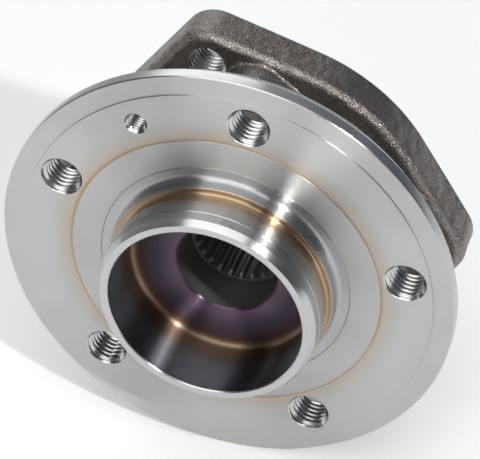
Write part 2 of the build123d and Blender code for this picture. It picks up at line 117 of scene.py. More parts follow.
class Nodes:
    """A short way to add and link the nodes of a material or a node group."""

    def __init__(self, tree: bpy.types.NodeTree) -> None:
        """Starts on an empty tree.

        Args:
            tree: The node tree to fill.
        """
        self.tree = tree
        self.column = 0

    def add(self, kind: str, **settings: object) -> bpy.types.Node:
        """Adds a node and sets its plain properties.

        Args:
            kind: The node's Blender type name.
            **settings: Properties of the node itself, by name.

        Returns:
            The new node.
        """
        node = self.tree.nodes.new(kind)
        for name, value in settings.items():
            setattr(node, name, value)
        node.location = (180 * self.column, 0)
        self.column += 1
        return node

    def feed(self, socket: Socket, value: object) -> None:
        """Links an output to an input, or sets the input to a constant.

        Args:
            socket: The input.
            value: An output of another node, or a plain value.
        """
        if isinstance(value, Socket):
            self.tree.links.new(value, socket)
        else:
            socket.default_value = value

    def maths(self, operation: str, *values: object, clamp: bool = False) -> Socket:
        """Adds a Math node.

        Args:
            operation: The node's operation.
            *values: Its inputs, as sockets or numbers.
            clamp: Whether the result is kept between 0 and 1.

        Returns:
            The node's output.
        """
        node = self.add("ShaderNodeMath", operation=operation, use_clamp=clamp)
        for socket, value in zip(node.inputs, values):
            self.feed(socket, value)
        return node.outputs[0]

    def span(
        self, value: object, low: object, high: object, out_low: object = 0.0, out_high: object = 1.0
    ) -> Socket:
        """Adds a smooth Map Range node.

        Args:
            value: What is mapped.
            low: The value that gives out_low.
            high: The value that gives out_high.
            out_low: The result at and below low.
            out_high: The result at and above high.

        Returns:
            The mapped value.
        """
        node = self.add("ShaderNodeMapRange", interpolation_type="SMOOTHSTEP")
        for name, given in (
            ("Value", value),
            ("From Min", low),
            ("From Max", high),
            ("To Min", out_low),
            ("To Max", out_high),
        ):
            self.feed(node.inputs[name], given)
        return node.outputs["Result"]

    def mixed(self, share: object, first: object, second: object, blend: str = "MIX") -> Socket:
        """Adds a colour Mix node.

        Args:
            share: How much of the second colour shows.
            first: The first colour.
            second: The second colour.
            blend: The way they are blended.

        Returns:
            The mixed colour.
        """
        node = self.add("ShaderNodeMix", data_type="RGBA", blend_type=blend)
        self.feed(node.inputs[0], share)
        self.feed(node.inputs[6], rgba(first) if isinstance(first, tuple) else first)
        self.feed(node.inputs[7], rgba(second) if isinstance(second, tuple) else second)
        return node.outputs[2]

    def ramp(self, value: object, stops: Sequence[tuple[float, Colour]]) -> Socket:
        """Adds a colour ramp over a value.

        Args:
            value: What the ramp follows.
            stops: Values, rising, each with its colour.

        Returns:
            The ramp's colour.
        """
        low, high = stops[0][0], stops[-1][0]
        node = self.add("ShaderNodeValToRGB")
        elements = node.color_ramp.elements
        while len(elements) < len(stops):
            elements.new(0.5)
        for element, (at, colour) in zip(elements, stops):
            element.position = (at - low) / (high - low)
            element.color = rgba(colour)
        share = self.maths("DIVIDE", self.maths("SUBTRACT", value, low), high - low, clamp=True)
        self.feed(node.inputs[0], share)
        return node.outputs["Color"]

    def noise(self, vector: object, scale: float, detail: float = 3.0, rough: float = 0.6) -> Socket:
        """Adds a Noise texture over a vector.

        Args:
            vector: The coordinates.
            scale: The texture's scale.
            detail: The number of its octaves.
            rough: The weight of the finer octaves.

        Returns:
            The noise value.
        """
        node = self.add("ShaderNodeTexNoise", noise_dimensions="3D")
        self.feed(node.inputs["Vector"], vector)
        node.inputs["Scale"].default_value = scale
        node.inputs["Detail"].default_value = detail
        node.inputs["Roughness"].default_value = rough
        return node.outputs[0]

    def line_noise(self, place: Socket, detail: float) -> Socket:
        """Adds a Noise texture along a line.

        Args:
            place: The place on the line.
            detail: The number of the texture's octaves.

        Returns:
            The noise value.
        """
        node = self.add("ShaderNodeTexNoise", noise_dimensions="1D")
        self.feed(node.inputs["W"], place)
        node.inputs["Scale"].default_value = 1.0
        node.inputs["Detail"].default_value = detail
        return node.outputs[0]

    def group(self, tree: bpy.types.NodeTree, **values: object) -> bpy.types.Node:
        """Places a node group and feeds its named inputs.

        Args:
            tree: The group's tree.
            **values: Its inputs by name, with underscores for spaces.

        Returns:
            The group node.
        """
        node = self.add("ShaderNodeGroup", node_tree=tree)
        for name, value in values.items():
            self.feed(node.inputs[name.replace("_", " ")], value)
        return node


def rgba(colour: Colour) -> tuple[float, float, float, float]:
    """A colour with full alpha."""
    return (*colour, 1.0)


def new_group(
    name: str, inputs: dict[str, float], outputs: Sequence[str]
) -> tuple[Nodes, dict[str, Socket], dict[str, Socket]]:
    """Starts a shader node group with float sockets.

    Args:
        name: The group's name.
        inputs: The input names with their defaults.
        outputs: The output names.

    Returns:
        The node builder, the group's inputs by name, and the output node's sockets by name.
    """
    tree = bpy.data.node_groups.new(name, "ShaderNodeTree")
    for label, default in inputs.items():
        socket = tree.interface.new_socket(name=label, in_out="INPUT", socket_type="NodeSocketFloat")
        socket.default_value = default
    for label in outputs:
        tree.interface.new_socket(name=label, in_out="OUTPUT", socket_type="NodeSocketFloat")
    nodes = Nodes(tree)
    source = nodes.add("NodeGroupInput")
    sink = nodes.add("NodeGroupOutput")
    return nodes, {s.name: s for s in source.outputs if s.name}, {s.name: s for s in sink.inputs if s.name}


def axle_coordinates(nodes: Nodes) -> tuple[Socket, Socket, Socket]:
    """Adds the object's own coordinates, measured from the axle line.

    Args:
        nodes: The material's or the group's nodes.

    Returns:
        The coordinates, the radius from the axle line, and the place along it, in metres.
    """
    place = nodes.add("ShaderNodeTexCoord").outputs["Object"]
    flat = nodes.add("ShaderNodeVectorMath", operation="MULTIPLY")
    nodes.feed(flat.inputs[0], place)
    flat.inputs[1].default_value = (1.0, 0.0, 1.0)
    length = nodes.add("ShaderNodeVectorMath", operation="LENGTH")
    nodes.feed(length.inputs[0], flat.outputs[0])
    split = nodes.add("ShaderNodeSeparateXYZ")
    nodes.feed(split.inputs[0], place)
    return place, length.outputs["Value"], split.outputs["Y"]


def scaled_coordinates(nodes: Nodes, scale: Socket) -> Socket:
    """Adds the object's own coordinates, enlarged.

    Args:
        nodes: The group's nodes.
        scale: How much they are enlarged.

    Returns:
        The enlarged coordinates.
    """
    sized = nodes.add("ShaderNodeVectorMath", operation="SCALE")
    nodes.feed(sized.inputs[0], nodes.add("ShaderNodeTexCoord").outputs["Object"])
    nodes.feed(sized.inputs["Scale"], scale)
    return sized.outputs[0]


@dataclass
class Effects:
    """The surface effects that more than one material uses, each built once as a node group.

    Attributes:
        turning: Fine tool marks round the axle line.
        tint: A ring-shaped band of heat tint.
        handling: Smudges and wiped patches.
        skin: The grainy skin of a forging.
    """

    turning: bpy.types.NodeTree = field(init=False)
    tint: bpy.types.NodeTree = field(init=False)
    handling: bpy.types.NodeTree = field(init=False)
    skin: bpy.types.NodeTree = field(init=False)

    def __post_init__(self) -> None:
        """Builds the four groups."""
        self.turning = self.turning_lines()
        self.tint = self.heat_band()
        self.handling = self.handling_marks()
        self.skin = self.forged_skin()

    @staticmethod
    def turning_lines() -> bpy.types.NodeTree:
        """Fine tool marks round the axle line, with a slower waviness.

        Returns:
            The group: Spacing in metres in, Lines, Waves and Height out.
        """
        along_share, wave_rate, wave_height = 0.71, 0.09, 0.6
        outputs = ("Lines", "Waves", "Height")
        nodes, source, sink = new_group("turning_lines", {"Spacing": 0.0002}, outputs)
        _, radius, along = axle_coordinates(nodes)
        track = nodes.maths("MULTIPLY_ADD", along, along_share, radius)
        steps = nodes.maths("DIVIDE", track, source["Spacing"])
        lines = nodes.line_noise(steps, detail=3.0)
        waves = nodes.line_noise(nodes.maths("MULTIPLY", steps, wave_rate), detail=2.0)
        nodes.feed(sink["Lines"], lines)
        nodes.feed(sink["Waves"], waves)
        nodes.feed(sink["Height"], nodes.maths("MULTIPLY_ADD", waves, wave_height, lines))
        return nodes.tree

    @staticmethod
    def heat_band() -> bpy.types.NodeTree:
        """A ring-shaped band of heat tint, strongest at its inner edge and uneven round the clock.

        Returns:
            The group: Inner, Outer and Ragged in metres in, Band out.
        """
        margin = 0.00002
        sizes = {"Inner": 0.046, "Outer": 0.05, "Ragged": 0.001}
        nodes, source, sink = new_group("heat_band", sizes, ("Band",))
        place, radius, _ = axle_coordinates(nodes)
        drift = nodes.maths("SUBTRACT", nodes.noise(place, scale=22.0, detail=2.0, rough=0.5), 0.5)
        shifted = nodes.maths("MULTIPLY_ADD", drift, source["Ragged"], radius)
        fade = nodes.span(shifted, source["Inner"], source["Outer"], out_low=1.0, out_high=0.0)
        inside = nodes.maths("GREATER_THAN", radius, nodes.maths("SUBTRACT", source["Inner"], margin))
        nodes.feed(sink["Band"], nodes.maths("MULTIPLY", fade, inside))
        return nodes.tree

    @staticmethod
    def handling_marks() -> bpy.types.NodeTree:
        """Faint smudges from oil and hands.

        Returns:
            The group: Scale in, Smudge out.
        """
        nodes, source, sink = new_group("handling_marks", {"Scale": 60.0}, ("Smudge",))
        broad = nodes.noise(scaled_coordinates(nodes, source["Scale"]), scale=1.0)
        nodes.feed(sink["Smudge"], nodes.span(broad, low=0.35, high=0.68))
        return nodes.tree

    @staticmethod
    def forged_skin() -> bpy.types.NodeTree:
        """The grainy skin of a shot-blasted forging.

        Returns:
            The group: Grain in grains to the metre in, Height, Speck, Pits and Tone out.
        """
        lump_height, cell_height = 1.6, 0.7
        outputs = ("Height", "Speck", "Pits", "Tone")
        nodes, source, sink = new_group("forged_skin", {"Grain": 1500.0}, outputs)
        place = scaled_coordinates(nodes, source["Grain"])
        cells = nodes.add("ShaderNodeTexVoronoi", feature="SMOOTH_F1")
        nodes.feed(cells.inputs["Vector"], place)
        cells.inputs["Scale"].default_value = 1.0
        grains = nodes.noise(place, scale=1.3, detail=2.0)
        lumps = nodes.noise(place, scale=0.22)
        tone = nodes.noise(place, scale=0.05)
        opened = nodes.noise(place, scale=1.5, detail=1.0, rough=0.5)
        bed = nodes.maths("MULTIPLY_ADD", lumps, lump_height, grains)
        dents = nodes.maths("MULTIPLY", cells.outputs["Distance"], cell_height)
        nodes.feed(sink["Height"], nodes.maths("SUBTRACT", bed, dents))
        nodes.feed(sink["Speck"], nodes.span(opened, low=0.54, high=0.68))
        nodes.feed(sink["Pits"], nodes.span(grains, low=0.34, high=0.52, out_low=1.0, out_high=0.0))
        nodes.feed(sink["Tone"], nodes.span(tone, low=0.3, high=0.7))
        return nodes.tree


@dataclass(frozen=True)
class Finish:
    """What every finish has.

    Attributes:
        name: The material's name.
        colour: Its main colour.
        roughness: How dull it is, from 0 to 1.
        metallic: How far it is a metal.
        specular: How strongly it mirrors light where it isn't a metal.
    """

    name: str
    colour: Colour
    roughness: float
    metallic: float = 1.0
    specular: float = 0.5

    def build(self, effects: Effects) -> bpy.types.Material:
        """Makes the material.

        Args:
            effects: The shared effects.

        Returns:
            The material, with its colour, roughness and relief from nodes.
        """
        material = bpy.data.materials.new(self.name)
        material.use_nodes = True
        material.node_tree.nodes.clear()
        material.diffuse_color = rgba(self.colour)
        nodes = Nodes(material.node_tree)
        shader = nodes.add("ShaderNodeBsdfPrincipled")
        shader.inputs["Metallic"].default_value = self.metallic
        shader.inputs["Specular IOR Level"].default_value = self.specular
        self.dress(nodes, shader, effects)
        output = nodes.add("ShaderNodeOutputMaterial")
        nodes.feed(output.inputs["Surface"], shader.outputs["BSDF"])
        return material

    def dress(self, nodes: Nodes, shader: bpy.types.Node, effects: Effects) -> None:
        """Feeds the shader. Each finish has its own way.

        Args:
            nodes: The material's nodes.
            shader: The material's Principled shader.
            effects: The shared effects.
        """
        raise NotImplementedError

    @staticmethod
    def relieve(nodes: Nodes, shader: bpy.types.Node, height: Socket, depth: float) -> None:
        """Adds relief to a shader.

        Args:
            nodes: The material's nodes.
            shader: The shader.
            height: The relief's height, as a number.
            depth: What a height of 1 stands for, in metres.
        """
        bump = nodes.add("ShaderNodeBump")
        bump.inputs["Distance"].default_value = depth
        nodes.feed(bump.inputs["Height"], height)
        nodes.feed(shader.inputs["Normal"], bump.outputs["Normal"])


@dataclass(frozen=True)
class TurnedSteel(Finish):
    """Machined steel with tool marks round the axle line, and tints left by heat, with a painted highlight
    where a temper stop is bright.

    Attributes:
        spacing: From one tool mark to the next, in metres.
        relief: The depth of the tool marks, in metres.
        anisotropy: How far the tool marks draw a highlight out.
        highlight_turn: The part of a turn that lays the drawn-out highlight across the marks.
        streaks: How much darker the marks' hollows are.
        temper_streaks: How many times stronger that is on temper colours.
        smudge_scale: Smudges to the metre.
        smudge_rough: How much duller a smudge is.
        wave_rough: How much duller the crests of the waviness are.
        shine: How much smoother clean metal is than the roughness says.
        tint: The colour of the ring-shaped bands.
        bands: Such bands, each with its inner and outer radius in metres and its strength.
        ragged: How far a band's edge strays, in metres.
        along_tints: Tints along the axle line, each with its two ends in metres and its colour.
        temper_and_painted_highlight: Temper colours, each after its radius less its place along the axle line,
            in metres; a bright stop among them paints a highlight.
        wander: How far the waviness shifts the temper colours, in metres.
    """

    spacing: float = 0.0002
    relief: float = 0.000004
    anisotropy: float = 0.6
    highlight_turn: float = 0.25
    streaks: float = 0.08
    temper_streaks: float = 2.5
    smudge_scale: float = 55.0
    smudge_rough: float = 0.05
    wave_rough: float = 0.04
    shine: float = 0.03
    tint: Colour = (0.42, 0.26, 0.12)
    bands: tuple[tuple[float, float, float], ...] = ()
    ragged: float = 0.002
    along_tints: tuple[tuple[float, float, Colour], ...] = ()
    temper_and_painted_highlight: tuple[tuple[float, Colour], ...] = ()
    wander: float = 0.0008

    def dress(self, nodes: Nodes, shader: bpy.types.Node, effects: Effects) -> None:
        """Feeds the shader with tool marks, smudges and tints.

        Args:
            nodes: The material's nodes.
            shader: The material's Principled shader.
            effects: The shared effects.
        """
        lines = nodes.group(effects.turning, Spacing=self.spacing)
        marks = nodes.group(effects.handling, Scale=self.smudge_scale)
        nodes.feed(shader.inputs["Base Color"], self.tinted(nodes, lines, effects))
        rough = nodes.maths(
            "MULTIPLY_ADD", marks.outputs["Smudge"], self.smudge_rough, self.roughness - self.shine
        )
        rough = nodes.maths("MULTIPLY_ADD", lines.outputs["Waves"], self.wave_rough, rough)
        nodes.feed(shader.inputs["Roughness"], rough)
        shader.inputs["Anisotropic"].default_value = self.anisotropy
        shader.inputs["Anisotropic Rotation"].default_value = self.highlight_turn
        tangent = nodes.add("ShaderNodeTangent", direction_type="RADIAL", axis="Y")
        nodes.feed(shader.inputs["Tangent"], tangent.outputs[0])
        self.relieve(nodes, shader, lines.outputs["Height"], self.relief)

    def tinted(self, nodes: Nodes, lines: bpy.types.Node, effects: Effects) -> Socket:
        """Mixes the metal's colour with its tool marks and its tints.

        Args:
            nodes: The material's nodes.
            lines: The tool marks' group node.
            effects: The shared effects.

        Returns:
            The colour.
        """
        dark = tuple(c * (1 - self.streaks) for c in self.colour)
        colour = nodes.mixed(lines.outputs["Lines"], dark, self.colour)
        _, radius, along = axle_coordinates(nodes)
        # The temper ramp also carries a painted highlight wherever one of its stops is bright.
        if self.temper_and_painted_highlight:
            reach = nodes.maths("SUBTRACT", radius, along)
            shifted = nodes.maths("MULTIPLY_ADD", lines.outputs["Waves"], self.wander, reach)
            hollow = tuple([1 - self.temper_streaks * self.streaks] * 3)
            lined = nodes.mixed(lines.outputs["Lines"], hollow, WHITE)
            colour = nodes.mixed(1.0, nodes.ramp(shifted, self.temper_and_painted_highlight), lined, "MULTIPLY")
        for low, high, tint in self.along_tints:
            middle = (low + high) / 2
            rise = nodes.span(along, low, middle)
            fall = nodes.span(along, middle, high, 1.0, 0.0)
            colour = nodes.mixed(nodes.maths("MULTIPLY", rise, fall), colour, tint)
        for inner, outer, strength in self.bands:
            band = nodes.group(effects.tint, Inner=inner, Outer=outer, Ragged=self.ragged)
            share = nodes.maths("MULTIPLY", band.outputs["Band"], strength)
            colour = nodes.mixed(share, colour, self.tint)
        return colour


@dataclass(frozen=True)
class ForgedSkin(Finish):
    """The dark grainy skin of a forging, with bright specks where the blast has opened it.

    Attributes:
        grain: Grains to the metre.
        relief: The height of the grain, in metres.
        bright: The specks' colour.
        rust: The colour of the browner patches.
        rust_share: How much of that colour they show.
        speck_share: How much of their colour the specks show.
        speck_shine: How much smoother a speck is.
        pit_share: How much of the dark the pits show.
        pit_tone: How dark the pits are, against the main colour.
    """

    grain: float = 1500.0
    relief: float = 0.00022
    bright: Colour = (0.42, 0.39, 0.35)
    rust: Colour = (0.16, 0.10, 0.07)
    rust_share: float = 0.4
    speck_share: float = 0.75
    speck_shine: float = 0.18
    pit_share: float = 0.8
    pit_tone: float = 0.3

    def dress(self, nodes: Nodes, shader: bpy.types.Node, effects: Effects) -> None:
        """Feeds the shader with grain, specks and pits.

        Args:
            nodes: The material's nodes.
            shader: The material's Principled shader.
            effects: The shared effects.
        """
        skin = nodes.group(effects.skin, Grain=self.grain).outputs
        dark = tuple(c * self.pit_tone for c in self.colour)
        colour = self.colour
        for mask, share, shown in (
            ("Tone", self.rust_share, self.rust),
            ("Speck", self.speck_share, self.bright),
            ("Pits", self.pit_share, dark),
        ):
            colour = nodes.mixed(nodes.maths("MULTIPLY", skin[mask], share), colour, shown)
        nodes.feed(shader.inputs["Base Color"], colour)
        rough = nodes.maths("MULTIPLY_ADD", skin["Speck"], -self.speck_shine, self.roughness)
        nodes.feed(shader.inputs["Roughness"], rough)
        self.relieve(nodes, shader, skin["Height"], self.relief)


@dataclass(frozen=True)
class Moulded(Finish):
    """Moulded rubber or nylon, with a fine matt skin.

    Attributes:
        grain: Grains to the metre.
        relief: The height of the grain, in metres.
        dust_scale: Dusty patches to the metre.
        dust_share: How much of the dust's colour they show.
        dust_gain: How many times lighter than the main colour the dust is.
        dust_lift: How much lighter it is beyond that.
        dust_rough: How much duller they are.
        shine: How much smoother the clean skin is than the roughness says.
    """

    grain: float = 2500.0
    relief: float = 0.00002
    dust_scale: float = 90.0
    dust_share: float = 0.5
    dust_gain: float = 1.6
    dust_lift: float = 0.01
    dust_rough: float = 0.12
    shine: float = 0.05

    def dress(self, nodes: Nodes, shader: bpy.types.Node, effects: Effects) -> None:
        """Feeds the shader with a fine skin and dusty patches.

        Args:
            nodes: The material's nodes.
            shader: The material's Principled shader.
            effects: The shared effects.
        """
        skin = nodes.group(effects.skin, Grain=self.grain)
        dust = nodes.group(effects.handling, Scale=self.dust_scale).outputs["Smudge"]
        dusty = tuple(min(1.0, c * self.dust_gain + self.dust_lift) for c in self.colour)
        share = nodes.maths("MULTIPLY", dust, self.dust_share)
        nodes.feed(shader.inputs["Base Color"], nodes.mixed(share, self.colour, dusty))
        rough = nodes.maths("MULTIPLY_ADD", dust, self.dust_rough, self.roughness - self.shine)
        nodes.feed(shader.inputs["Roughness"], rough)
        self.relieve(nodes, shader, skin.outputs["Height"], self.relief)


@dataclass
class FinishBook:
    """Every material, made once from its finish and looked up by name.

    Attributes:
        effects: The shared effects.
        made: The materials made so far, by name.
    """

    effects: Effects = field(default_factory=Effects)
    made: dict[str, bpy.types.Material] = field(default_factory=dict)

    def get(self, finish: Finish) -> bpy.types.Material:
        """The material of a finish, made on its first use."""
        if finish.name not in self.made:
            self.made[finish.name] = finish.build(self.effects)
        return self.made[finish.name]


FACE_STEEL = TurnedSteel("face_steel", (0.50, 0.50, 0.49), 0.33, spacing=0.00022, anisotropy=1.0)
OUTER_FACE_STEEL = TurnedSteel(
    "outer_face_steel",
    (0.55, 0.55, 0.535),
    0.40,
    spacing=0.0003,
    anisotropy=0.90,
    bands=((0.0461, 0.0475, 0.85), (0.0461, 0.0535, 0.36)),
)
FILLET_STEEL = TurnedSteel("fillet_steel", (0.45, 0.455, 0.46), 0.27, spacing=0.0003, anisotropy=1.0)
PILOT_STEEL = TurnedSteel(
    "pilot_steel",
    (0.47, 0.47, 0.47),
    0.28,
    spacing=0.00018,
    anisotropy=1.0,
    along_tints=((-0.0135, -0.0020, (0.44, 0.38, 0.31)), (-0.0085, -0.0012, (0.43, 0.31, 0.20))),
)
CUP_STEEL = TurnedSteel(
    "cup_steel",
    (0.30, 0.30, 0.33),
    0.33,
    spacing=0.0004,
    anisotropy=1.0,
    temper_and_painted_highlight=(
        (0.0150, (0.15, 0.10, 0.14)),
        (0.0176, (0.12, 0.082, 0.12)),
        (0.0198, (0.085, 0.068, 0.10)),
        (0.0232, (0.09, 0.06, 0.075)),
        (0.0252, (0.10, 0.062, 0.06)),
        (0.0270, (0.20, 0.13, 0.085)),
        # Painted highlight: this bright gold stop lights the rounded corner between the cup's floor and wall.
        (0.0281, (0.36, 0.26, 0.17)),
        (0.0294, (0.24, 0.16, 0.11)),
        (0.0330, (0.21, 0.15, 0.115)),
        (0.0365, (0.22, 0.20, 0.21)),
        (0.0410, (0.19, 0.205, 0.23)),
        (0.0480, (0.16, 0.17, 0.19)),
    ),
)
# Painted shade: the bore's steel is given a dark colour for the shade deep inside the splined bore.
SHADED_BORE_STEEL = TurnedSteel("shaded_bore_steel", (0.21, 0.21, 0.20), 0.58, spacing=0.0003, anisotropy=0.3)
EDGE_STEEL = TurnedSteel("edge_steel", (0.53, 0.535, 0.535), 0.27, spacing=0.00025, anisotropy=0.85)
THREAD_STEEL = TurnedSteel(
    "thread_steel", (0.56, 0.56, 0.55), 0.22, spacing=0.0005, anisotropy=0.0, relief=0.000006
)
GROUND_STEEL = TurnedSteel("ground_steel", (0.60, 0.60, 0.60), 0.20, spacing=0.00015, anisotropy=0.5)
PRESSED_STEEL = TurnedSteel("pressed_steel", (0.50, 0.51, 0.52), 0.34, spacing=0.0006, anisotropy=0.2)
BALL_STEEL = TurnedSteel(
    "ball_steel", (0.74, 0.74, 0.76), 0.08, spacing=0.0009, anisotropy=0.0, relief=0.000001
)
FORGING = ForgedSkin("forging", (0.26, 0.24, 0.225), 0.40, metallic=0.95, grain=1850.0, relief=0.00018)
BACK_FORGING = ForgedSkin(
    "flange_back", (0.17, 0.155, 0.145), 0.5, metallic=0.85, grain=1800.0, relief=0.00012
)
SEAL_RUBBER = Moulded("seal_rubber", (0.022, 0.022, 0.024), 0.55, metallic=0.0, specular=0.4)
ENCODER_RUBBER = Moulded(
    "encoder_rubber", (0.040, 0.034, 0.030), 0.48, metallic=0.0, specular=0.45, grain=4000.0
)
CAGE_NYLON = Moulded("cage_nylon", (0.075, 0.065, 0.05), 0.5, metallic=0.0, specular=0.45)
ZONE_FINISHES: dict[Zone, Finish] = {
    Zone.FACE: FACE_STEEL,
    Zone.OUTER_FACE: OUTER_FACE_STEEL,
    Zone.PILOT: PILOT_STEEL,
    Zone.CUP: CUP_STEEL,
    Zone.BORE: SHADED_BORE_STEEL,
    Zone.BACK: BACK_FORGING,
    Zone.GROUND: GROUND_STEEL,
    Zone.EDGE: EDGE_STEEL,
    Zone.FILLET: FILLET_STEEL,
}


# ---- mesh building -------------------------------------------------------------------------------


@dataclass(frozen=True)
class Corner:
    """A corner of a turned outline.

    Attributes:
        radius: From the axle line.
        depth: Inboard from the wheel's face.
        blend: The radius that rounds this corner.
        zone: The finish from this corner on.
        toothed: Whether the spline's teeth cut this point.
    """

    radius: float
    depth: float
    blend: float = 0.0
    zone: Zone = Zone.FACE
    toothed: bool = False


def arc(centre: Point2, radius: float, start: float, end: float, count: int) -> list[Point2]:
    """Points on an arc.

    Args:
        centre: The arc's centre.
        radius: Its radius.
        start: Its first angle, in degrees.
        end: Its last angle, in degrees.
        count: The number of points.

    Returns:
        The points, with both ends.
    """
    turns = [math.radians(start + (end - start) * i / (count - 1)) for i in range(count)]
    return [(centre[0] + radius * math.cos(a), centre[1] + radius * math.sin(a)) for a in turns]


def blended(corners: Sequence[Corner], step: float = 11.0) -> list[Corner]:
    """Rounds the corners of a closed outline.

    Args:
        corners: The outline's corners.
        step: The largest turn between two points of a rounding, in degrees.

    Returns:
        The outline with each blended corner replaced by an arc.
    """
    shortest, straightest, most_of_side = 1e-6, 0.02, 0.49
    result: list[Corner] = []
    for index, corner in enumerate(corners):
        before = corners[index - 1]
        after = corners[(index + 1) % len(corners)]
        here = Vector((corner.radius, corner.depth))
        back = Vector((before.radius, before.depth)) - here
        ahead = Vector((after.radius, after.depth)) - here
        if corner.blend <= 0 or min(back.length, ahead.length) < shortest:
            result.append(corner)
            continue
        turn = math.pi - back.angle(ahead)
        if turn < straightest:
            result.append(corner)
            continue
        longest = most_of_side * min(back.length, ahead.length)
        reach = min(corner.blend * math.tan(turn / 2), longest)
        radius = reach / math.tan(turn / 2)
        inward = (back.normalized() + ahead.normalized()).normalized()
        centre = here + inward * math.hypot(radius, reach)
        first = here + back.normalized() * reach - centre
        last = here + ahead.normalized() * reach - centre
        sweep = first.angle_signed(last)
        count = max(2, math.ceil(math.degrees(turn) / step) + 1)
        for number in range(count):
            part = number / (count - 1)
            cos, sin = math.cos(-sweep * part), math.sin(-sweep * part)
            point = centre + Vector((first.x * cos - first.y * sin, first.x * sin + first.y * cos))
            zone = before.zone if part < 0.5 else corner.zone
            result.append(Corner(point.x, point.y, 0.0, zone, corner.toothed))
    return result


def on_axle(radius: np.ndarray, clock: np.ndarray, depth: np.ndarray) -> np.ndarray:
    """Turns drawing sizes into points about the axle line.

    Args:
        radius: Radii from the axle line.
        clock: Clock angles in radians.
        depth: Depths inboard from the wheel's face.

    Returns:
        The points in metres.
    """
    return np.stack((radius * np.cos(clock), depth, radius * np.sin(clock)), axis=-1) * MM


def grid_faces(rows: int, columns: int, closed_rows: bool = True) -> np.ndarray:
    """The quads of a grid of points that closes round its columns.

    Args:
        rows: The number of rows.
        columns: The number of points in a row.
        closed_rows: Whether the last row meets the first.

    Returns:
        The quads, four point numbers each.
    """
    row = np.arange(rows if closed_rows else rows - 1)[:, None]
    column = np.arange(columns)[None, :]
    here, there = row * columns, (row + 1) % rows * columns
    ahead = (column + 1) % columns
    quads = np.stack((here + column, here + ahead, there + ahead, there + column), axis=-1)
    return quads.reshape(-1, 4)


def build_mesh(name: str, points: np.ndarray, faces: Sequence[Sequence[int]]) -> bpy.types.Mesh:
    """Makes a mesh whose faces all look outwards.

    Args:
        name: The mesh's name.
        points: Its points in metres.
        faces: Its faces, as lists of point numbers.

    Returns:
        The mesh.
    """
    mesh = bpy.data.meshes.new(name)
    mesh.from_pydata(np.asarray(points, float).tolist(), [], [list(face) for face in faces])
    shape = bmesh.new()
    shape.from_mesh(mesh)
    bmesh.ops.recalc_face_normals(shape, faces=shape.faces)
    shape.to_mesh(mesh)
    shape.free()
    return mesh


def smooth(mesh: bpy.types.Mesh, crease: float) -> None:
    """Shades a mesh smooth, but keeps its crisp edges.

    Args:
        mesh: The mesh.
        crease: The turn between two faces, in degrees, above which their edge stays crisp.
    """
    mesh.shade_smooth()
    mesh.set_sharp_from_angle(angle=math.radians(crease))


def round_clocks(columns: int = ROUND_COLUMNS) -> np.ndarray:
    """Evenly spaced clock angles, in radians."""
    return np.linspace(0, 2 * math.pi, columns, endpoint=False)


def add_object(mesh: bpy.types.Mesh, materials: Sequence[bpy.types.Material]) -> bpy.types.Object:
    """Puts a mesh in the scene with its materials.

    Args:
        mesh: The mesh, whose name the object takes.
        materials: The materials in the order of the mesh's slots.

    Returns:
        The object.
    """
    for material in materials:
        mesh.materials.append(material)
    piece = bpy.data.objects.new(mesh.name, mesh)
    bpy.context.scene.collection.objects.link(piece)
    return piece


def turned_mesh(
    name: str, corners: Sequence[Corner], clocks: np.ndarray, teeth: np.ndarray | None = None
) -> bpy.types.Mesh:
    """Turns a closed outline about the axle line.

    Args:
        name: The mesh's name.
        corners: The outline, already blended.
        clocks: The clock angles of the mesh's columns, in radians.
        teeth: The spline's radius at each clock angle, for the toothed points.

    Returns:
        The mesh, with each face's material index set to its zone.
    """
    even = np.ones(len(clocks))
    radius = np.array([corner.radius for corner in corners])[:, None] * even
    depth = np.array([corner.depth for corner in corners])[:, None] * even
    if teeth is not None:
        toothed = np.array([corner.toothed for corner in corners])
        radius[toothed] = np.maximum(radius[toothed], teeth)
    points = on_axle(radius, clocks * np.ones_like(radius), depth).reshape(-1, 3)
    mesh = build_mesh(name, points, grid_faces(len(corners), len(clocks)))
    zones = np.repeat([corner.zone.value for corner in corners], len(clocks)).astype(np.int32)
    mesh.polygons.foreach_set("material_index", zones)
    return mesh


def cut(piece: bpy.types.Object, tools: Sequence[bpy.types.Mesh], material: bpy.types.Material) -> None:
    """Cuts tools out of a piece, and gives the cut walls a material.

    Args:
        piece: The piece, whose mesh is replaced by the cut one.
        tools: Closed meshes that don't meet each other.
        material: The finish of the cut walls.
    """
    joined = bmesh.new()
    for tool in tools:
        joined.from_mesh(tool)
    mesh = bpy.data.meshes.new("tools")
    joined.to_mesh(mesh)
    joined.free()
    cutter = add_object(mesh, (material,))
    modifier = piece.modifiers.new("cut", "BOOLEAN")
    modifier.operation = "DIFFERENCE"
    modifier.solver = "EXACT"
    modifier.material_mode = "TRANSFER"
    modifier.object = cutter
    graph = bpy.context.evaluated_depsgraph_get()
    result = bpy.data.meshes.new_from_object(piece.evaluated_get(graph), depsgraph=graph)
    piece.modifiers.clear()
    old, name = piece.data, piece.data.name
    piece.data = result
    bpy.data.meshes.remove(old)
    result.name = name
    bpy.data.objects.remove(cutter)
    bpy.data.meshes.remove(mesh)


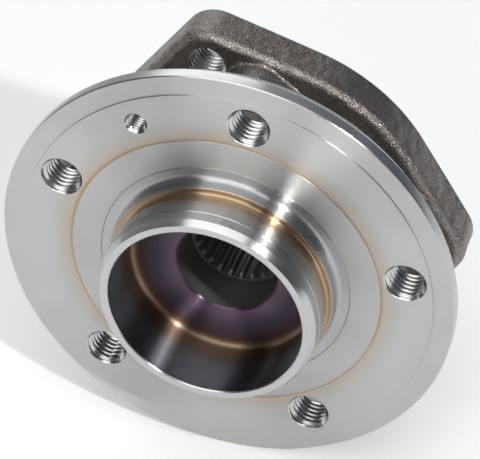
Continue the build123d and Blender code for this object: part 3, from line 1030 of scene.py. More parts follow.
@dataclass(frozen=True)
class Thread:
    """A cut thread in a through hole, as a tool.

    Attributes:
        bore: The thread's minor radius.
        root: Its root radius.
        pitch: The distance from crest to crest.
        front: The depth of the face that the screw enters.
        back: The depth of the far face.
        mouth: The radius of the chamfered mouth at the front.
        back_mouth: The radius of the chamfer at the far face.
        columns: The number of points round the hole.
        lead_in: The turns cut before the first face.
        spare: The turns beyond those between the faces.
        form: One turn's form, each point as a share of the pitch and a share of the thread's depth.
    """

    bore: float
    root: float
    pitch: float
    front: float
    back: float
    mouth: float
    back_mouth: float
    columns: int = 56
    lead_in: float = 2.4
    spare: int = 4
    form: tuple[Point2, ...] = ((0.0, 0.0), (0.125, 0.0), (0.44, 1.0), (0.56, 1.0), (0.875, 0.0))

    def tool(self, name: str, radius: float, clock: float) -> bpy.types.Mesh:
        """Makes the closed tool at its place.

        Args:
            name: The mesh's name.
            radius: From the axle line to the hole's middle.
            clock: The hole's clock angle in degrees.

        Returns:
            The tool's mesh: helical rows of points, closed by a fan at each end.
        """
        low, high = min(self.front, self.back), max(self.front, self.back)
        start = low - self.lead_in * self.pitch
        lead = len(self.form)
        rows = (math.ceil((high - low) / self.pitch) + self.spare) * lead
        row = np.arange(rows)
        part, rise = np.array(self.form)[row % lead].T
        angle = np.arange(self.columns) * 2 * math.pi / self.columns
        depth = start + self.pitch * (row // lead + part)[:, None] + self.pitch * angle / (2 * math.pi)
        wall = self.bore + (self.root - self.bore) * rise[:, None] * np.ones(self.columns)
        inward = 1.0 if self.back > self.front else -1.0
        wall = np.maximum(wall, self.mouth - (depth - self.front) * inward)
        wall = np.maximum(wall, self.back_mouth - (self.back - depth) * inward)
        middle = on_axle(np.array(radius), np.array(math.radians(clock)), np.array(0.0))
        points = (on_axle(wall, -angle * np.ones_like(wall), depth) + middle).reshape(-1, 3)
        faces = self.wall_faces(rows)
        first_loop, last_loop = self.end_loops(rows)
        before, beyond = depth[0, 0] - self.pitch, depth[-1, -1] + self.pitch
        for loop, at in ((first_loop, before), (last_loop, beyond)):
            points = np.vstack((points, middle + np.array((0.0, at * MM, 0.0))))
            tip = len(points) - 1
            faces += [(loop[i], loop[(i + 1) % len(loop)], tip) for i in range(len(loop))]
        return build_mesh(name, points, faces)

    def wall_faces(self, rows: int) -> list[tuple[int, ...]]:
        """The quads of the helical wall, whose last column meets the first one turn further on.

        Args:
            rows: The number of rows of points.

        Returns:
            The quads.
        """
        lead = len(self.form)
        faces: list[tuple[int, ...]] = []
        for row in range(rows - 1):
            for column in range(self.columns - 1):
                here = row * self.columns + column
                faces.append((here, here + 1, here + self.columns + 1, here + self.columns))
            if row + lead + 1 < rows:
                here = row * self.columns + self.columns - 1
                there = (row + lead) * self.columns
                faces.append((here, there, there + self.columns, here + self.columns))
        return faces

    def end_loops(self, rows: int) -> tuple[list[int], list[int]]:
        """The open edges of the helical wall at its two ends.

        Args:
            rows: The number of rows of points.

        Returns:
            The point numbers round the first and the last opening.
        """
        lead = len(self.form)
        top = (rows - 1) * self.columns
        first = list(range(self.columns))
        first += [row * self.columns for row in range(lead, 0, -1)]
        last = list(range(top, top + self.columns))
        last += [top - step * self.columns + self.columns - 1 for step in range(1, lead + 1)]
        return first, last


def relieved(mesh: bpy.types.Mesh, movable: np.ndarray, amounts: Sequence[tuple[float, float]]) -> None:
    """Makes a forged surface uneven.

    Args:
        mesh: The mesh to change.
        movable: How far each point may move, from 0 to 1.
        amounts: Pairs of the bumps' size and their height, in millimetres.
    """
    mesh.update()
    count = len(mesh.vertices)
    place = np.zeros(count * 3)
    normal = np.zeros(count * 3)
    mesh.vertices.foreach_get("co", place)
    mesh.vertex_normals.foreach_get("vector", normal)
    place, normal = place.reshape(-1, 3), normal.reshape(-1, 3)
    lift = np.zeros(count)
    for size, height in amounts:
        lift += [height * MM * noise.noise(Vector(point) / (size * MM)) for point in place]
    place += normal * (lift * movable)[:, None]
    mesh.vertices.foreach_set("co", place.ravel())
    mesh.update()


def finish_piece(piece: bpy.types.Object, body: Body, slot: Slot, *nodes: str) -> bpy.types.Object:
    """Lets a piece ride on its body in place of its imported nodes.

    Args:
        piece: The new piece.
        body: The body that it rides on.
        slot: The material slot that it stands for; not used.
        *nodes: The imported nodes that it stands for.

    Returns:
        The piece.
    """
    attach(piece, body.value)
    if nodes:
        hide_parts(*nodes)
    LOG.info("%s: %d faces on %s", piece.name, len(piece.data.polygons), body.value)
    return piece


# ---- the sub-assemblies --------------------------------------------------------------------------


@dataclass
class BearingSizes:
    """The sizes that the hub, the rings and the seals share.

    Attributes:
        pitch_radius: From the axle line to the balls' centres.
        groove_radius: The radius of the raceway grooves.
        groove_points: The number of points on a groove.
        shoulder_turn: How far a groove climbs to its shoulder, in degrees.
        inner_land: The radius of the inner shoulders, where the seals run.
        outboard_row: The depth of the outboard balls' centres.
        inboard_row: The depth of the inboard balls' centres.
        middle: The depth at which the inner ring meets the hub.
        shoulder: The depth of the ground face behind the flange.
        outboard_end: The depth of the fixed ring's outboard end.
        inboard_end: The depth of both rings' inboard ends.
        tail_end: The depth of the rolled collar's end.
        spindle: The radius of the spindle inside the inner ring.
        seal_seat: The radius of the seals' seats.
        seat_depth: How far a seat reaches into the fixed ring.
        seat_bore: The radius of the fixed ring's bore beyond a seat.
        sheet: The thickness of pressed sheet.
    """

    pitch_radius: float = 33.0
    groove_radius: float = 6.5
    groove_points: int = 9
    shoulder_turn: float = 61.0
    inner_land: float = 29.849
    outboard_row: float = 25.0
    inboard_row: float = 43.3
    middle: float = 34.15
    shoulder: float = 12.8
    outboard_end: float = 14.5
    inboard_end: float = 56.2
    tail_end: float = 59.7
    spindle: float = 22.0
    seal_seat: float = 40.0
    seat_depth: float = 5.8
    seat_bore: float = 39.5
    sheet: float = 0.8

    @property
    def groove_floor(self) -> float:
        """The radius of the inner grooves' floors."""
        return self.pitch_radius - self.groove_radius

    def groove(self, row: float, start: float, end: float, zone: Zone = Zone.FACE) -> list[Corner]:
        """A raceway groove's corners.

        Args:
            row: The depth of the balls' centres.
            start: Its first angle, in degrees from radially outward.
            end: Its last angle, in degrees from radially outward.
            zone: Its finish.

        Returns:
            The corners.
        """
        points = arc((self.pitch_radius, row), self.groove_radius, start, end, self.groove_points)
        return [Corner(radius, depth, 0.0, zone) for radius, depth in points]


@dataclass
class Hub:
    """The turning hub: wheel flange, pilots, cup, spindle and splined bore.

    Attributes:
        sizes: The bearing's sizes.
        finishes: The materials.
        teeth: The number of the spline's teeth.
        tooth_tip: The radius of the teeth's tips.
        tooth_root: The radius of the teeth's roots.
        root_half_width: Half of a root's width, in degrees.
        tip_half_space: Half of the space between two tips, in degrees.
        flank_points: The number of points on a tooth's flank.
        spline_start: The depth at which the spline starts.
        tooth_chamfer: The depth of the chamfer at the teeth's ends.
        bore_edge: The radius of the bore outboard of the spline.
        cup_radius: The radius of the cup's wall.
        cup_floor: The depth of the cup's floor at its wall.
        pilot_radius: The radius of the wheel pilot.
        pilot_height: How far the wheel pilot stands out of the flange.
        pilot_groove: The depth of the fine groove round the wheel pilot.
        neck_radius: The radius of the undercut behind the wheel pilot.
        disc_pilot_radius: The radius of the disc pilot.
        disc_pilot_height: How far the disc pilot stands out of the flange.
        fillet: The radius of the fillet at its foot.
        face_groove: The radius of the fine groove in the inner face.
        face_radius: The radius of the inner face.
        face_step: How far the inner face stands out of the outer one.
        outer_face_radius: The radius of the outer face.
        flange_radius: The radius of the whole flange.
        flange_step: How far the flange's edge lies behind the outer face.
        flange_edge: The depth at which the flange's back starts to slope.
        bevel_radius: The radius at which that slope ends.
        flange_back: The depth of the flange's back.
        boss_radius: The radius at which the back starts to rise to its shoulder.
        shoulder_radius: The radius of that shoulder.
        collar_radius: The radius of the rolled collar.
        tail_bore: The radius of the clearance at the bore's inboard end.
        tail_depth: How far that clearance reaches in.
        bolt_circle: The radius of the circle of bolt holes.
        first_bolt: The clock angle of the first bolt hole, in degrees.
        bolts: The number of bolt holes.
        screw_offset: The turn from a bolt hole to the disc screw's hole, in degrees.
        boss_half_width: Half of the width of a boss between two pockets.
        pocket_outer: The radius of a pocket's outer wall.
        pocket_inner: The radius of a pocket's inner wall.
        pocket_depth: How deep a pocket is.
        pocket_corner: The size of a pocket's corners.
        corner_bend: How far a corner bends in, as a share of its size.
        outer_points: The number of points on a pocket's outer wall.
        inner_points: The number of points on its inner wall.
        pocket_walls: Heights above a pocket's floor, each with the scale of the pocket's outline there.
    """

    sizes: BearingSizes
    finishes: FinishBook
    teeth: int = 26
    tooth_tip: float = 13.2
    tooth_root: float = 14.4
    root_half_width: float = 1.94
    tip_half_space: float = 5.12
    flank_points: int = 5
    spline_start: float = 15.0
    tooth_chamfer: float = 1.2
    bore_edge: float = 15.1
    cup_radius: float = 28.75
    cup_floor: float = 1.1
    pilot_radius: float = 32.55
    pilot_height: float = 19.05
    pilot_groove: float = -13.95
    neck_radius: float = 31.6
    disc_pilot_radius: float = 33.5
    disc_pilot_height: float = 4.6
    fillet: float = 3.48
    face_groove: float = 37.3
    face_radius: float = 46.25
    face_step: float = 0.12
    outer_face_radius: float = 61.5
    flange_radius: float = 67.7
    flange_step: float = 0.4
    flange_edge: float = 4.0
    bevel_radius: float = 63.2
    flange_back: float = 10.5
    boss_radius: float = 45.85
    shoulder_radius: float = 40.35
    collar_radius: float = 25.5
    tail_bore: float = 16.2
    tail_depth: float = 4.4
    bolt_circle: float = 54.0
    first_bolt: float = 82.4
    bolts: int = 5
    screw_offset: float = 36.0
    boss_half_width: float = 13.0
    pocket_outer: float = 61.6
    pocket_inner: float = 47.45
    pocket_depth: float = 3.0
    pocket_corner: float = 2.5
    corner_bend: float = 0.3
    outer_points: int = 24
    inner_points: int = 16
    pocket_walls: tuple[Point2, ...] = ((0.0, 0.90), (0.25, 0.935), (0.8, 0.955), (4.0, 1.02))

    def clocks(self) -> np.ndarray:
        """The clock angles that follow the spline's teeth, in radians."""
        flank = np.linspace(self.root_half_width, self.tip_half_space, self.flank_points)
        one = np.concatenate(([-180.0 / self.teeth], -flank[::-1], [0.0], flank))
        return np.radians(np.concatenate([one + 360.0 / self.teeth * tooth for tooth in range(self.teeth)]))

    def tooth_radius(self, clocks: np.ndarray) -> np.ndarray:
        """The spline's radius.

        Args:
            clocks: Clock angles in radians.

        Returns:
            The radius at each of them.
        """
        pitch = 360.0 / self.teeth
        away = np.abs((np.degrees(clocks) + pitch / 2) % pitch - pitch / 2)
        ends = (self.root_half_width, self.tip_half_space)
        return np.interp(away, ends, (self.tooth_root, self.tooth_tip))

    def front_outline(self) -> list[Corner]:
        """The outline from the bore over the cup and pilots to the flange's edge."""
        cup, neck = self.cup_radius, self.neck_radius
        pilot, disc = self.pilot_radius, self.disc_pilot_radius
        top, ledge, face = -self.pilot_height, -self.disc_pilot_height, -self.face_step
        outer, rim, step = self.outer_face_radius, self.flange_radius, self.flange_step
        return [
            Corner(self.bore_edge, 2.3, 0.0, Zone.CUP),
            Corner(15.6, 1.8, 0.05, Zone.CUP),
            Corner(17.2, 1.61, 0.0, Zone.CUP),
            Corner(17.35, 1.54, 0.0, Zone.CUP),
            Corner(cup, self.cup_floor, 2.0, Zone.CUP),
            Corner(cup, top + 0.35, 0.12, Zone.EDGE),
            Corner(cup + 0.35, top, 0.1, Zone.EDGE),
            Corner(pilot - 1.5, top, 0.12, Zone.EDGE),
            Corner(pilot - 0.25, top + 2.05, 0.1, Zone.PILOT),
            Corner(pilot - 0.03, self.pilot_groove - 0.15, 0.0, Zone.PILOT),
            Corner(pilot - 0.25, self.pilot_groove, 0.0, Zone.PILOT),
            Corner(pilot, self.pilot_groove + 0.25, 0.0, Zone.PILOT),
            Corner(pilot, -9.2, 2.0, Zone.PILOT),
            Corner(neck, -6.8, 1.0, Zone.PILOT),
            Corner(neck, ledge, 1.6, Zone.PILOT),
            Corner(disc, ledge, 0.4, Zone.FILLET),
            Corner(disc, face, self.fillet, Zone.FILLET),
            Corner(self.face_groove - 0.15, face, 0.0, Zone.FILLET),
            Corner(self.face_groove, 0.06, 0.0, Zone.FACE),
            Corner(self.face_groove + 0.15, face, 0.0, Zone.FACE),
            Corner(self.face_radius, face, 0.05, Zone.EDGE),
            Corner(self.face_radius + 0.05, 0.0, 0.0, Zone.OUTER_FACE),
            Corner(outer, 0.0, 0.06, Zone.EDGE),
            Corner(outer, step, 0.12, Zone.OUTER_FACE),
            Corner(rim - 0.3, step, 0.12, Zone.EDGE),
            Corner(rim, step + 0.3, 0.12, Zone.EDGE),
        ]

    def back_outline(self) -> list[Corner]:
        """The outline from the flange's edge down its back, along the spindle and out through the bore."""
        size, back, tail = self.sizes, self.flange_back, self.sizes.tail_end
        ground, edge, bore = Zone.GROUND, Zone.EDGE, Zone.BORE
        clear = tail - self.tail_depth
        return [
            Corner(self.flange_radius, self.flange_edge, 0.4, edge),
            Corner(self.bevel_radius, back, 0.6, Zone.BACK),
            Corner(self.boss_radius, back, 1.5, ground),
            Corner(self.shoulder_radius, size.shoulder, 0.3, ground),
            Corner(size.inner_land, size.shoulder, 2.2, ground),
            *size.groove(size.outboard_row, 180 + size.shoulder_turn, 180, ground),
            Corner(size.groove_floor, size.middle, 0.2, ground),
            Corner(size.spindle, size.middle, 0.2, ground),
            Corner(size.spindle, size.inboard_end, 0.0, edge),
            Corner(self.collar_radius, size.inboard_end, 0.15, edge),
            Corner(self.collar_radius, tail, 2.0, edge),
            Corner(self.tail_bore + 1.2, tail, 0.3, edge),
            Corner(self.tail_bore, tail - 1.2, 0.2, bore),
            Corner(self.tail_bore, clear, 0.2, bore),
            Corner(self.tooth_root, clear, 0.0, bore, True),
            Corner(self.tooth_tip, clear - self.tooth_chamfer, 0.0, bore, True),
            Corner(self.tooth_tip, size.middle, 0.0, bore, True),
            Corner(self.tooth_tip, self.spline_start + self.tooth_chamfer, 0.0, bore, True),
            Corner(self.tooth_root, self.spline_start, 0.0, bore, True),
            Corner(self.bore_edge, self.spline_start, 0.0, bore),
        ]

    def boss_side(self, radius: float) -> float:
        """The turn from a pocket's middle to its side at a radius, in radians."""
        return math.pi / self.bolts - math.asin(self.boss_half_width / radius)

    def pocket_outline(self) -> np.ndarray:
        """The outline of one pocket between two bolt bosses.

        Returns:
            Its points in the plane of the flange, with the pocket's middle on the first axis.
        """
        outer, inner, corner = self.pocket_outer, self.pocket_inner, self.pocket_corner
        bend = corner * self.corner_bend
        outer_end, inner_end = self.boss_side(outer), self.boss_side(inner)
        outer_wall = outer_end - corner / outer
        inner_wall = inner_end - corner / inner
        side = [
            (outer - bend, outer_end - corner / outer / 3),
            (outer - corner, self.boss_side(outer - corner)),
            (inner + corner, self.boss_side(inner + corner)),
            (inner + bend, inner_end - corner / inner / 3),
        ]
        polar = [(outer, turn) for turn in np.linspace(-outer_wall, outer_wall, self.outer_points)]
        polar += side
        polar += [(inner, turn) for turn in np.linspace(inner_wall, -inner_wall, self.inner_points)]
        polar += [(radius, -turn) for radius, turn in reversed(side)]
        return np.array([(radius * math.cos(turn), radius * math.sin(turn)) for radius, turn in polar])

    def pocket_tools(self) -> list[bpy.types.Mesh]:
        """The tools of the pockets in the flange's back, with sloping walls."""
        outline = self.pocket_outline()
        count = len(outline)
        middle = outline.mean(axis=0)
        floor = self.flange_back - self.pocket_depth
        faces = grid_faces(len(self.pocket_walls), count, closed_rows=False).tolist()
        last = count * (len(self.pocket_walls) - 1)
        faces += [list(range(count)), list(range(last, last + count))]
        tools = []
        for number in range(self.bolts):
            turn = math.radians(self.first_bolt + 360.0 / self.bolts * (number + 0.5))
            cos, sin = math.cos(turn), math.sin(turn)
            layers = []
            for height, scale in self.pocket_walls:
                across, up = (middle + (outline - middle) * scale).T
                depth = np.full(count, floor + height)
                layers.append(np.stack((across * cos - up * sin, depth, across * sin + up * cos), axis=-1))
            tools.append(build_mesh(f"pocket_{number + 1}", np.concatenate(layers) * MM, faces))
        return tools

    def thread_tools(self) -> list[bpy.types.Mesh]:
        """The tools of the wheel bolts' holes and the disc screw's hole."""
        bolt = Thread(
            bore=5.1, root=6.0, pitch=1.75, front=0.0, back=self.flange_back, mouth=6.3, back_mouth=5.7
        )
        pocket_floor = self.flange_back - self.pocket_depth
        screw = Thread(
            bore=2.5,
            root=3.0,
            pitch=1.0,
            front=0.0,
            back=pocket_floor,
            mouth=3.45,
            back_mouth=2.8,
            columns=40,
        )
        tools = [
            bolt.tool(f"bolt_{number + 1}", self.bolt_circle, self.first_bolt + 360.0 / self.bolts * number)
            for number in range(self.bolts)
        ]
        tools.append(screw.tool("screw", self.bolt_circle, self.first_bolt + self.screw_offset))
        return tools

    def build(self) -> bpy.types.Object:
        """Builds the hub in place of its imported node.

        Returns:
            The hub.
        """
        clocks = self.clocks()
        outline = blended(self.front_outline() + self.back_outline())
        mesh = turned_mesh("hub_turned", outline, clocks, self.tooth_radius(clocks))
        book = self.finishes
        piece = add_object(mesh, [book.get(ZONE_FINISHES[zone]) for zone in Zone])
        cut(piece, self.pocket_tools(), book.get(BACK_FORGING))
        cut(piece, self.thread_tools(), book.get(THREAD_STEEL))
        smooth(piece.data, TURNED_CREASE)
        return finish_piece(piece, Body.HUB, Slot.TURNED, "hub_flange")


@dataclass
class InnerRing:
    """The separate inner ring on the spindle.

    Attributes:
        sizes: The bearing's sizes.
        finishes: The materials.
        edge_round: The radius of its rounded edges.
    """

    sizes: BearingSizes
    finishes: FinishBook
    edge_round: float = 0.6

    def build(self) -> bpy.types.Object:
        """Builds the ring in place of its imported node.

        Returns:
            The ring.
        """
        size = self.sizes
        corners = [
            *size.groove(size.inboard_row, 180, 180 - size.shoulder_turn),
            Corner(size.inner_land, size.inboard_end, self.edge_round),
            Corner(size.spindle, size.inboard_end, self.edge_round),
            Corner(size.spindle, size.middle, self.edge_round),
            Corner(size.groove_floor, size.middle, 0.2),
        ]
        mesh = turned_mesh("inner_ring_ground", blended(corners), round_clocks())
        smooth(mesh, TURNED_CREASE)
        piece = add_object(mesh, (self.finishes.get(GROUND_STEEL),))
        return finish_piece(piece, Body.HUB, Slot.GROUND, "inner_ring")


@dataclass
class KnuckleRing:
    """The fixed ring: a turned core with both raceways, in a forging with four lobes and four ears.

    Attributes:
        sizes: The bearing's sizes.
        finishes: The materials.
        clock: The clock angle of the middle of the lobed side, in degrees.
        barrel: The radius of the barrel outboard of the plate.
        barrel_foot: The radius of the fillet at the barrel's foot.
        neck: The forging's outboard end, as radii and depths.
        neck_end: The least depth at which the plate's side may start.
        spigot: The radius of the spigot that enters the knuckle.
        inner_wall: The radius of the forging's own inside, which the core covers.
        inner_start: The depth at which that inside starts.
        core_wall: The radius of the core's outside within the forging.
        core_edge: The size of the chamfers at the core's ends.
        core_columns: The number of points round the core.
        lobe_half_length: Half of the lobed block's length.
        lobe_half_width: Half of its width.
        lobe_corner: The radius of its corners.
        lobe_height: How far it stands out of the plate.
        lobe_foot: The radius at the foot of its wall.
        lobe_wall: How far its wall slopes.
        lobe_edge: The radius of its outer edge.
        plate_radius: The radius of the plate between the ears.
        plate_top: The depth of the plate's outboard side.
        plate_round: The radius of the plate's outboard edge.
        rim: The width of the strip along the plate's edge that is traced more finely.
        mount_face: The depth of the face that the knuckle takes.
        bolt: The place of a knuckle bolt, along and across the lobed side.
        ear_radius: The radius of an ear round its bolt.
        directions: The number of directions in which the plate's reach is measured.
        columns: The number of radial lines round the forging.
        skin_rows: The number of points along the forged skin on each line.
        bumps: The unevenness of the skin, as pairs of a bump's size and its height.
    """

    sizes: BearingSizes
    finishes: FinishBook
    clock: float = 52.6
    barrel: float = 45.5
    barrel_foot: float = 2.5
    neck: tuple[Point2, ...] = ((43.55, 14.6), (45.1, 16.6), (45.5, 17.4))
    neck_end: float = 17.8
    spigot: float = 42.0
    inner_wall: float = 41.4
    inner_start: float = 15.6
    core_wall: float = 43.0
    core_edge: float = 0.6
    core_columns: int = 288
    lobe_half_length: float = 45.3
    lobe_half_width: float = 36.389
    lobe_corner: float = 10.5
    lobe_height: float = 9.0
    lobe_foot: float = 0.9
    lobe_wall: float = 1.3
    lobe_edge: float = 4.2
    plate_radius: float = 54.9
    plate_top: float = 28.4
    plate_round: float = 3.0
    rim: float = 3.2
    mount_face: float = 41.4
    bolt: Point2 = (31.481, 42.389)
    ear_radius: float = 10.2
    directions: int = 720
    columns: int = 640
    skin_rows: int = 104
    bumps: tuple[Point2, ...] = ((9.0, 0.22), (3.2, 0.16), (1.3, 0.10))

    def plate_outline(self, turns: np.ndarray) -> np.ndarray:
        """The radius of the plate's outline: the hull of the four ears and of the disc between them.

        Args:
            turns: Turns from the middle of the lobed side, in radians.

        Returns:
            The outline's radius at each turn.
        """
        least_facing, far = 0.05, 1e9
        along, across = self.bolt
        around = round_clocks(self.directions)
        ring = np.stack((np.cos(around), np.sin(around)), axis=-1)
        disc_end = math.sqrt(self.plate_radius**2 - across**2)
        corner = np.abs(ring) @ np.array((disc_end, across))
        reach = np.where(np.abs(ring[:, 1]) * self.plate_radius <= across, self.plate_radius, corner)
        for x, y in ((along, across), (along, -across), (-along, across), (-along, -across)):
            reach = np.maximum(reach, ring @ np.array((x, y)) + self.ear_radius)
        heading = np.stack((np.cos(turns), np.sin(turns)), axis=-1)
        facing = heading @ ring.T
        limit = np.where(facing > least_facing, reach / np.maximum(facing, least_facing), far)
        return limit.min(axis=1)

    def lobe_profile(self) -> tuple[list[float], list[float]]:
        """The wall of the lobed block.

        Returns:
            Distances inside the block's outline, rising, and the block's height at each of them.
        """
        far, deep = 30.0, 40.0
        loop = blended(
            [
                Corner(-far, 0.0),
                Corner(0.0, 0.0, self.lobe_foot),
                Corner(self.lobe_wall, self.lobe_height, self.lobe_edge),
                Corner(far, self.lobe_height),
                Corner(far, deep),
                Corner(-far, deep),
            ],
            step=12.0,
        )
        wall = [corner for corner in loop if corner.depth < deep]
        return [corner.radius for corner in wall], [corner.depth for corner in wall]

    def outboard_depth(self, radius: np.ndarray, turn: float, edge: float) -> np.ndarray:
        """The depth of the forging's outboard side along one radial line.

        Args:
            radius: The radii along the line.
            turn: The line's turn from the middle of the lobed side, in radians.
            edge: The outline's radius on that line.

        Returns:
            The depth at each radius.
        """
        across = np.abs(radius * math.sin(turn))
        along = np.abs(radius * math.cos(turn))
        to_end = np.maximum(self.lobe_corner - (self.lobe_half_length - along), 0.0)
        to_side = np.maximum(self.lobe_corner - (self.lobe_half_width - across), 0.0)
        inside = self.lobe_corner - np.hypot(to_end, to_side)
        depth = self.plate_top - np.interp(inside, *self.lobe_profile())
        top, foot = self.plate_round, self.barrel_foot
        near_edge = np.clip(top - (edge - radius), 0.0, top)
        near_foot = np.clip(foot - (radius - self.barrel), 0.0, foot)
        depth = depth + top - np.sqrt(np.maximum(top**2 - near_edge**2, 0.0))
        return depth - (foot - np.sqrt(np.maximum(foot**2 - near_foot**2, 0.0)))

    def section(self, turn: float, edge: float) -> tuple[np.ndarray, np.ndarray]:
        """The forging's cross-section on one radial line, as a closed loop.

        Args:
            turn: The line's turn, in radians.
            edge: The outline's radius on that line.

        Returns:
            The loop's points as (radius, depth), evenly spaced along the skin, and how freely each may be
            made uneven.
        """
        flat_samples, rim_samples, edge_share = 130, 60, 0.4
        face, wall = self.mount_face, self.inner_wall
        flat = np.linspace(self.barrel, edge - self.rim, flat_samples)
        radius = np.concatenate((flat, np.linspace(edge - self.rim, edge, rim_samples)[1:]))
        depth = self.outboard_depth(radius, turn, edge)
        start = (self.barrel, max(depth[0], self.neck_end))
        side = np.stack((radius, depth), axis=-1)[1:]
        skin = np.vstack((self.neck, [start], side, [(edge, face - 0.7)]))
        travel = np.concatenate(([0.0], np.cumsum(np.hypot(*np.diff(skin, axis=0).T))))
        even = np.linspace(0.0, travel[-1], self.skin_rows)
        skin = np.stack((np.interp(even, travel, skin[:, 0]), np.interp(even, travel, skin[:, 1])), axis=-1)
        machined = [
            (edge - 0.25, face - 0.15),
            (edge - 0.75, face),
            (self.spigot + 0.4, face),
            (self.spigot + 0.05, face - 0.4),
            (wall, face - 0.6),
            (wall, self.inner_start),
        ]
        free = np.concatenate((np.ones(self.skin_rows), np.zeros(len(machined))))
        free[0] = 0.0
        free[self.skin_rows - 1] = edge_share
        return np.vstack((skin, machined)), free

    def forging(self) -> bpy.types.Object:
        """Builds the forging, with its uneven skin and four threaded holes.

        Returns:
            The forging.
        """
        turns = round_clocks(self.columns)
        edges = self.plate_outline(turns)
        loops, frees = zip(*(self.section(turn, edge) for turn, edge in zip(turns, edges)))
        loop = np.stack(loops, axis=1)
        rows = loop.shape[0]
        clock = (turns + math.radians(self.clock)) * np.ones((rows, 1))
        points = on_axle(loop[:, :, 0], clock, loop[:, :, 1]).reshape(-1, 3)
        mesh = build_mesh("ring_forging", points, grid_faces(rows, self.columns))
        machined = np.zeros((rows, self.columns), np.int32)
        machined[self.skin_rows :] = 1
        mesh.polygons.foreach_set("material_index", machined.ravel())
        relieved(mesh, np.stack(frees, axis=1).ravel(), self.bumps)
        book = self.finishes
        piece = add_object(mesh, (book.get(FORGING), book.get(EDGE_STEEL)))
        thread = Thread(
            bore=5.1,
            root=6.0,
            pitch=1.75,
            front=self.mount_face,
            back=self.plate_top,
            mouth=6.2,
            back_mouth=5.15,
        )
        lean = math.degrees(math.atan2(self.bolt[1], self.bolt[0]))
        tools = [
            thread.tool(f"knuckle_{number + 1}", math.hypot(*self.bolt), self.clock + turn)
            for number, turn in enumerate((lean, 180 - lean, 180 + lean, -lean))
        ]
        cut(piece, tools, book.get(THREAD_STEEL))
        smooth(piece.data, FORGED_CREASE)
        return finish_piece(piece, Body.HOUSING, Slot.FORGED, "outer_ring")

    def core(self) -> bpy.types.Object:
        """Builds the turned core with the raceways, the seal seats and the spigot.

        Returns:
            The core.
        """
        size, edge, wall = self.sizes, self.core_edge, self.core_wall
        seat, bore = size.seal_seat, size.seat_bore
        start, end = size.outboard_end, size.inboard_end
        corners = [
            Corner(seat + edge, start, 0.1),
            Corner(wall + edge, start, 0.05),
            Corner(wall, start + 2.0),
            Corner(wall, self.mount_face - 1.2),
            Corner(self.spigot, self.mount_face - 0.5),
            Corner(self.spigot, end - 1.0, 0.15),
            Corner(self.spigot - 1.0, end, 0.15),
            Corner(seat + edge, end, 0.1),
            Corner(seat, end - edge, 0.1),
            Corner(seat, end - size.seat_depth),
            Corner(bore, end - size.seat_depth),
            *size.groove(size.inboard_row, 0, -size.shoulder_turn),
            *size.groove(size.outboard_row, size.shoulder_turn, 0),
            Corner(bore, start + size.seat_depth),
            Corner(seat, start + size.seat_depth),
            Corner(seat, start + edge, 0.1),
        ]
        mesh = turned_mesh("ring_core", blended(corners), round_clocks(self.core_columns))
        smooth(mesh, TURNED_CREASE)
        piece = add_object(mesh, (self.finishes.get(GROUND_STEEL),))
        return finish_piece(piece, Body.HOUSING, Slot.FORGED)

    def build(self) -> None:
        """Builds both pieces of the fixed ring."""
        self.forging()
        self.core()


